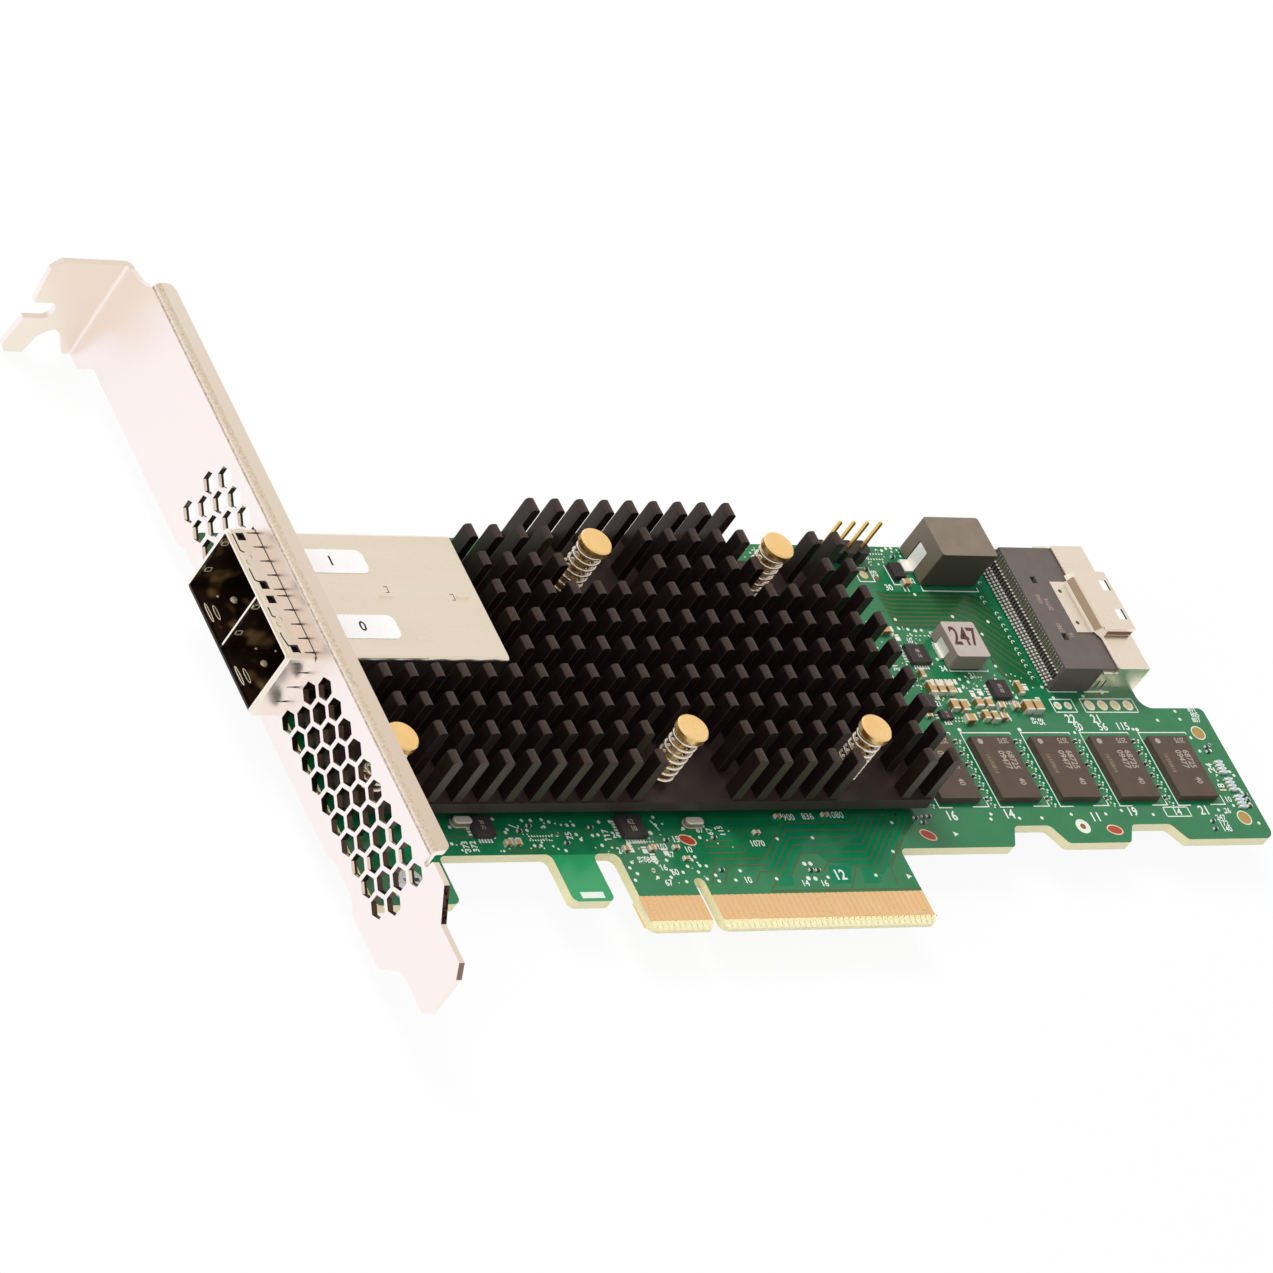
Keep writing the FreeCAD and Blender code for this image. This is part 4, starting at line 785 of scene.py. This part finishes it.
# The nicks show only beyond this X.
first_nick = 18.5
first_contact = reach("edge_contacts")[0][0]
teeth = Sheet()
nicks = Sheet()
for i in range(gaps_to_end):
    x = first_contact - contact_gap / 2 + contact_pitch * i
    if key_notch[0] < x < key_notch[1]:
        continue
    teeth.area([(x - 0.12, 0.5), (x + 0.12, 0.5), (x + 0.05, 1.25), (x - 0.05, 1.25)], 0.075)
    if x > first_nick:
        nicks.disc(x, 1.05, 0.08, 0.1, 6)
teeth.make("bevel_teeth", cream)
nicks.make("contact_nicks", heat_tint_and_shade)

# Plated rims and pads of the empty holes, and the two targets that line the board up for assembly.
jumper_holes = [(x, 38.65) for x in (83.5, 85.5)]
header_holes = [(89.8 + 2.54 * i, 38.7) for i in range(4)]
test_hole = (75.5, 16.4)
target_places = ((108.44, 33.5), (108.1, 17.6))
rims = Sheet()
for (x, y), r, inner in zip(target_places, (1.3, 1.34), (1.12, 1.15)):
    rims.ring(x, y, PAD, r, inner)
rims.ring(*test_hole, PAD, 1.3, 0.5)
for x, y in jumper_holes:
    rims.ring(x, y, PAD, 0.72, 0.4)
for x, y in header_holes:
    rims.ring(x, y, PAD, 0.95, 0.62)
rims.make("pad_rims", via_metal)
targets = Sheet()
for x, y in target_places:
    targets.disc(x, y, VIA, 1.2, 20)
targets.make("alignment_targets", olive_gold)
gold_pads = Sheet()
gold_pads.disc(59.7, 63.0, VIA, 0.75, 20)
for x, y in header_holes:
    gold_pads.disc(x, y, PAD + RISE, 0.66, 16)
for x, y in jumper_holes:
    gold_pads.disc(x, y, VIA, 0.42, 14)
gold_pads.make("gold_pads", hole_tin)
red = Sheet()
red_rims = Sheet()
for x, y, turn in ((1.6, 14.9, -20), (45.4, 15.2, -25), (81.3, 15.7, -10)):
    red_rims.oval(x, y, PAD, 1.5, 0.92, turn)
    red.oval(x, y, PAD + RISE, 1.28, 0.72, turn)
red.disc(*test_hole, PAD, 0.36)
for x, y in ((107.5, 23.2), (62.0, 62.3)):
    red.rect((x - 0.45, x + 0.1), (y - 0.25, y + 0.25), PAD)
red.make("tooling_marks", red_mark)
red_rims.make("tooling_mark_rims", peach_rim)

# ---- chip resistors and capacitors
# Each kind's body size, the length of its end caps, and how far they stand out at the sides and the top.
resistor = ((0.6, 0.4, 0.28), 0.1, (0.01, 0.02))
short_resistor = ((0.5, 0.4, 0.28), 0.11, (0.01, 0.02))
small_capacitor = ((0.7, 0.56, 0.45), 0.2, (0.02, 0.03))
large_capacitor = ((1.4, 0.9, 0.8), 0.4, (0.02, 0.02))
chips = Sheet()
capacitors = Sheet()
ends = Sheet()


def chip_part(bodies, x, y, size, cap, proud, turned=False):
    """A chip part centred at (x, y), along X or, turned, along Y, with a metal cap on each end."""
    length, width, height = size
    capped = (width / 2 + proud[0], height + proud[1])
    for sheet, start, end, (half, top) in ((bodies, -length / 2, length / 2, (width / 2, height)),
                                           (ends, -length / 2 - cap, -length / 2, capped),
                                           (ends, length / 2, length / 2 + cap, capped)):
        if turned:
            sheet.box((x - half, x + half), (y + start, y + end), (0.0, top))
        else:
            sheet.box((x + start, x + end), (y - half, y + half), (0.0, top))


for x, y in ((108.4, 30.8), (108.2, 29.9), (110.7, 21.8), (110.6, 20.8), (110.4, 19.7), (101.3, 17.0),
             (101.0, 15.6), (44.6, 18.2), (46.2, 18.4), (45.6, 17.4), (47.2, 18.5), (-26.6, 16.7),
             (-19.5, 14.6), (-14.2, 17.2), (-24.6, 17.6), (20.6, 9.3), (21.8, 9.3), (4.8, 9.6),
             (-2.2, 14.9), (6.4, 15.2), (-8.6, 15.9), (60.6, 64.0), (67.0, 66.4), (68.9, 64.3)):
    chip_part(chips, x, y, *resistor)
# A column of six stands beside each memory chip.
for left in memory_lefts:
    for i in range(6):
        chip_part(chips, left - 2.3, memory_low + 0.4 + 2.1 * i, *short_resistor, turned=True)
chip_part(capacitors, 57.6, 52.15, *large_capacitor)
for x, y in ((-4.9, 13.7), (-0.4, 11.6), (14.2, 15.9), (-1.3, 13.5), (19.5, 18.7), (28.1, 18.9),
             (57.4, 36.6)):
    chip_part(capacitors, x, y, *small_capacitor)
# A switching transistor stands just beyond the heatsink, half hidden by its fins.
chips.box((56.4, 58.7), (37.3, 39.6), (0.0, 1.3))
capacitors.make("small_capacitors", ceramic)
chips.make("chip_resistors", compound_dark)
ends.make("chip_resistor_ends", solder)

# Packs of four resistors stand across the board's end, each with four leads a side.
pack_x, pack_half, pack_top = (-0.1, 0.6), 1.25, 0.42
lead_reaches = ((-0.75, pack_x[0]), (pack_x[1], 0.85))
lead_pitch, lead_half, lead_top = 0.62, 0.15, 0.44
packs = Sheet()
pack_ends = Sheet()
for x, y in ((108.74, 26.86), (108.83, 23.65), (108.87, 20.46)):
    packs.box((x + pack_x[0], x + pack_x[1]), (y - pack_half, y + pack_half), (0.0, pack_top))
    for i in range(4):
        lead = y + lead_pitch * (i - 1.5)
        for near, far in lead_reaches:
            pack_ends.box((x + near, x + far), (lead - lead_half, lead + lead_half), (0.0, lead_top))
packs.make("resistor_packs", pack_grey)
pack_ends.make("resistor_pack_ends", solder)

# ---- marks on the parts
marks = Sheet()
side_marks = Sheet()
for left in memory_lefts:
    top = memory_top + MARK
    marks.disc(left + 1.45, memory_low + 10.26, top, 0.5, 18)
    marks.words("2575", left + 5.8, memory_low + 10.4, top, 1.3, 180, 0.75)
    marks.words("68725", left + 5.75, memory_low + 6.86, top, 1.6, -90, 0.85)
    marks.words("09477", left + 4.25, memory_low + 6.86, top, 1.6, -90, 0.85)
    marks.words("40", left + 5.3, memory_low + 2.9, top, 1.5, -90, 0.85)
    side_marks.words("16350814", left + 1.45, memory_low + 6.2, top, 1.05, -90, 0.85)
for number, upper, lower, size in ((1, "48", "16", 0.9), (2, "35", "02", 0.9), (3, "16", "16", 0.7),
                                   (4, "30", "71", 0.9), (5, "62", "10", 1.2)):
    chip_x, chip_y, chip_z = reach("power_chip_%d" % number)
    x, y, top = sum(chip_x) / 2, sum(chip_y) / 2, chip_z[1] + MARK
    marks.words(upper, x, y + size * 0.45, top, size, 0, 0.9)
    marks.words(lower, x, y - size * 0.55, top, size, 0, 0.9)
marks.make("laser_marks", laser_grey)
side_marks.make("side_marks", laser_tan)
socket_figures = Sheet()
for text, x, y in (("1065", 85.6, 54.6), ("20714", 86.9, 53.6), ("3381", 86.6, 49.2), ("16", 88.0, 47.8)):
    socket_figures.words(text, x, y, socket_z[1] + MARK, 1.15, 90, 0.8)
socket_figures.make("socket_marks", laser_brown)

coil_x, coil_y, coil_z = reach("small_coil")
coil_figures = Sheet()
coil_figures.words("247", sum(coil_x) / 2, sum(coil_y) / 2 + 0.35, coil_z[1] + MARK, 4.7, -3, 0.7)
coil_figures.make("coil_figures", brown_ink)
label_figures = Sheet()
for name, text in (("port_label_1", "1"), ("port_label_2", "0")):
    label_x, label_y, label_z = reach(name)
    label_figures.words(text, sum(label_x) / 2 - 0.2, sum(label_y) / 2, label_z[1] + MARK, 2.3)
label_figures.make("printed_figures", ink)

# ---- punched outlines on the port collar and cage, drawn as painted shade
collar_x, collar_y, collar_z = reach("emi_collar")
cage_roof = reach("cage_shell")[2][1]
port_middles = [sum(reach("port_receptacle_%d" % number)[1]) / 2 for number in (1, 2)]
roof = collar_z[1] + MARK
slit_width, seam_width, lance_width = 0.24, 0.15, 0.1
edge = collar_x[0] + slit_width / 2
slits = Sheet()
for run in (((edge, 58.4), (edge, 55.5), (edge + 0.5, 55.15)),
            ((edge, 45.7), (edge, 44.2), (edge + 0.5, 44.0)),
            ((edge, 52.4), (edge, 50.4), (edge + 0.4, 50.15), (-59.5, 50.15), (-59.5, 48.9)),
            ((edge, 41.4), (edge, 40.6), (edge + 0.3, 39.15), (-59.4, 39.1), (-59.4, 37.9))):
    slits.line(run, slit_width, roof)
for y in (53.5, 42.8):
    slits.arc(-60.5, y, roof, 0.45, 0.38, 120, 150)
    slits.arc(-60.0, y + 0.9, roof, 0.3, 0.24, 300, 150)
for x, y in ((-39.9, 49.4), (-29.3, 48.2)):
    slits.line([(x, y + 0.5), (x + 0.55, y + 0.5), (x + 0.55, y - 0.5), (x, y - 0.5)],
               lance_width, cage_roof + GAP)
# Slits part the collar into spring fingers, and taper from the seam towards its mouth.
seam_x = -57.02
finger_pitch = 2.43


def slit_between_fingers(middle):
    """Corners of one slit, along X and across it."""
    length, half, half_at_tip = 1.7, 0.18, 0.02
    return [(seam_x, middle - half), (seam_x, middle + half), (seam_x - length, middle + half_at_tip),
            (seam_x - length, middle - half_at_tip)]


slits.line([(seam_x, 37.6), (seam_x, 59.2)], seam_width, roof)
for middle in port_middles:
    for i in range(5):
        slits.area(slit_between_fingers(middle + finger_pitch * (i - 2)), roof + RISE)
for i in range(1, 4):
    slits.wall(slit_between_fingers(collar_z[0] + (collar_z[1] - collar_z[0]) * i / 4), collar_y[0] - MARK)
# Two square windows show over each port.
window_x, window_half, window_shift = (-60.56, -59.24), 0.66, 4.2
windows = Sheet()
for middle in port_middles:
    for y in (middle - window_shift, middle + window_shift):
        windows.rect(window_x, (y - window_half, y + window_half), cage_roof + VIA)
windows.make("window_shadows", unlit)
slits.make("punched_outlines", slit_shade)

# Contact bumps on the cage floor and pressed loops on its walls, drawn in the bright painted highlight; flat
# ovals on the ribs carry it too, round dark centres of painted shade.
floor_top = 0.3
rib_top = 0.77
bumps = Sheet()
for x, y, r, height in ((-55.5, 56.3, 0.58, 0.45), (-55.6, 45.3, 0.58, 0.45), (-55.65, 50.6, 0.2, 0.2),
                        (-57.9, 56.9, 0.2, 0.2), (-55.7, 47.9, 0.22, 0.2), (-52.65, 47.5, 0.2, 0.2)):
    bumps.dome(x, y, floor_top, r, height)
for y in (58.95, 48.0):
    for x, z in ((-60.45, 8.8), (-60.25, 3.5)):
        bumps.loop_on_wall(x, y, z, 0.55, 0.45, 0.13)
loop_centres = Sheet()
for middle in port_middles:
    for x, outer, inner in ((-59.8, (0.36, 1.3), (0.2, 1.08)), (-61.0, (0.3, 1.68), (0.12, 1.42))):
        bumps.oval(x, middle, rib_top, *outer, 0)
        loop_centres.oval(x, middle, rib_top + MARK, *inner, 0)
bumps.make("cage_bumps", bump_highlight)
loop_centres.make("loop_centres", slit_shade)

# Rolled lips where the socket's shell meets its housing, drawn bright as a painted highlight, and the gap
# under its roof, filled with painted shade.
lips = Sheet()
for y in ((41.4, 47.6), (58.8, 64.6)):
    lips.box((93.3, 93.75), y, (5.22, 5.36))
    lips.box((93.4, 93.65), y, (5.36, 5.44))
# The ramp's ends curl down at one corner and up at the other, drawn bright with the same painted highlight
# over the shade beneath the ramp.
lips.face([(92.3, 48.2, 5.4), (93.5, 48.2, 6.58), (93.5, 46.6, 5.3)])
lips.face([(92.5, 57.8, 5.5), (93.5, 57.8, 6.58), (93.5, 58.75, 6.58), (92.5, 58.75, 5.5)])
lips.make("shell_lips_painted_highlight", highlight)
# Painted shade: a dark red brown sheet across the gap under the socket's roof.
under_roof = Sheet()
under_roof.wall([(94.4, 5.3), (99.3, 5.3), (99.3, 6.05), (94.4, 6.05)], 47.69)
under_roof.make("roof_gap_painted_shade", heat_tint_and_shade)

# ---------------------------------------------------------------- floor
floor_size = 6.0
clearance_under_part = 0.0002
floor_mesh = bmesh.new()
bmesh.ops.create_grid(floor_mesh, x_segments=1, y_segments=1, size=floor_size)
floor_data = bpy.data.meshes.new("floor")
floor_mesh.to_mesh(floor_data)
floor_mesh.free()
floor = bpy.data.objects.new("floor", floor_data)
floor.location.z = box_at_load[0][2] - clearance_under_part
bpy.context.scene.collection.objects.link(floor)


def seen_directly(tree):
    """1 for rays that show the background itself, straight or in metal or glass."""
    path = add(tree, "ShaderNodeLightPath")
    first = add(tree, "ShaderNodeMath", {"operation": "MAXIMUM"},
                {0: path.outputs["Is Camera Ray"], 1: path.outputs["Is Glossy Ray"]})
    return add(tree, "ShaderNodeMath", {"operation": "MAXIMUM"},
               {0: first.outputs[0], 1: path.outputs["Is Transmission Ray"]}).outputs[0]


# Seamless white paper sweep, calendered: matt, no visible texture, a faint shadow left under the card.
sweep = bpy.data.materials.new("white_paper_sweep")
sweep.use_nodes = True
tree = sweep.node_tree
tree.nodes.clear()
matt = add(tree, "ShaderNodeBsdfDiffuse", links={"Color": srgb("#f4f4f4")})
glow = add(tree, "ShaderNodeEmission", links={"Color": (1, 1, 1, 1), "Strength": 1.0})
share = add(tree, "ShaderNodeMath", {"operation": "MULTIPLY"}, {0: seen_directly(tree), 1: 0.93})
blend = add(tree, "ShaderNodeMixShader", links={0: share.outputs[0], 1: matt.outputs[0], 2: glow.outputs[0]})
add(tree, "ShaderNodeOutputMaterial", links={"Surface": blend.outputs[0]})
floor_data.materials.append(sweep)

# ---------------------------------------------------------------- light
# Pale walls at eye level, and a warm grey ceiling that only metal and gloss show.
world = bpy.data.worlds.new("studio")
bpy.context.scene.world = world
world.use_nodes = True
tree = world.node_tree
tree.nodes.clear()
way_up = add(tree, "ShaderNodeSeparateXYZ", links={0: add(tree, "ShaderNodeTexCoord").outputs["Generated"]})
room = add(tree, "ShaderNodeValToRGB", links={"Fac": way_up.outputs["Z"]},
           stops=((0.0, "#ffffff"), (0.25, "#fbf8f2"), (0.5, "#e9e0d3"), (1.0, "#dcd3c5")))
path = add(tree, "ShaderNodeLightPath")
shown = add(tree, "ShaderNodeMix", {"data_type": "RGBA"},
            {"Factor": path.outputs["Is Camera Ray"], 6: room.outputs["Color"], 7: (1, 1, 1, 1)})
fill = add(tree, "ShaderNodeBackground", links={"Color": (1, 1, 1, 1), "Strength": 0.45})
plain = add(tree, "ShaderNodeBackground", links={"Color": shown.outputs[2], "Strength": 1.0})
both = add(tree, "ShaderNodeMixShader",
           links={0: seen_directly(tree), 1: fill.outputs[0], 2: plain.outputs[0]})
add(tree, "ShaderNodeOutputWorld", links={"Surface": both.outputs[0]})


def softbox(name, place, aim, size, watts):
    """Round lamp, size metres wide, that no gloss mirrors."""
    data = bpy.data.lights.new(name, "AREA")
    data.shape = "DISK"
    data.size = size
    data.energy = watts
    lamp = bpy.data.objects.new(name, data)
    lamp.visible_glossy = False
    lamp.location = place
    lamp.rotation_euler = (Vector(aim) - Vector(place)).to_track_quat("-Z", "Y").to_euler()
    bpy.context.scene.collection.objects.link(lamp)


card_middle = (0.03, 0.04, 0.0)
softbox("key_softbox", (-0.25, 0.55, 0.85), card_middle, 0.55, 7.6)
softbox("fill_softbox", (-1.1, -0.15, 0.6), card_middle, 0.9, 4.2)

# ---------------------------------------------------------------- camera
camera_place = Vector((-604.5, -436.8, 579.7)) * MM
ahead = Vector((0.6307, 0.4996, -0.5938)).normalized()
rightwards = Vector((0.776, -0.3984, 0.489)).normalized()
camera_data = bpy.data.cameras.new("camera")
camera_data.sensor_width = 36.0
camera_data.lens = 198.35
camera_data.clip_start = 0.05
camera_data.clip_end = 20.0
camera = bpy.data.objects.new("camera", camera_data)
bpy.context.scene.collection.objects.link(camera)
back = -ahead
up = back.cross(rightwards).normalized()
turned = Matrix((up.cross(back), up, back)).transposed().to_4x4()
camera.matrix_world = Matrix.Translation(camera_place) @ turned
bpy.context.scene.camera = camera
bpy.context.scene.view_settings.view_transform = "Standard"
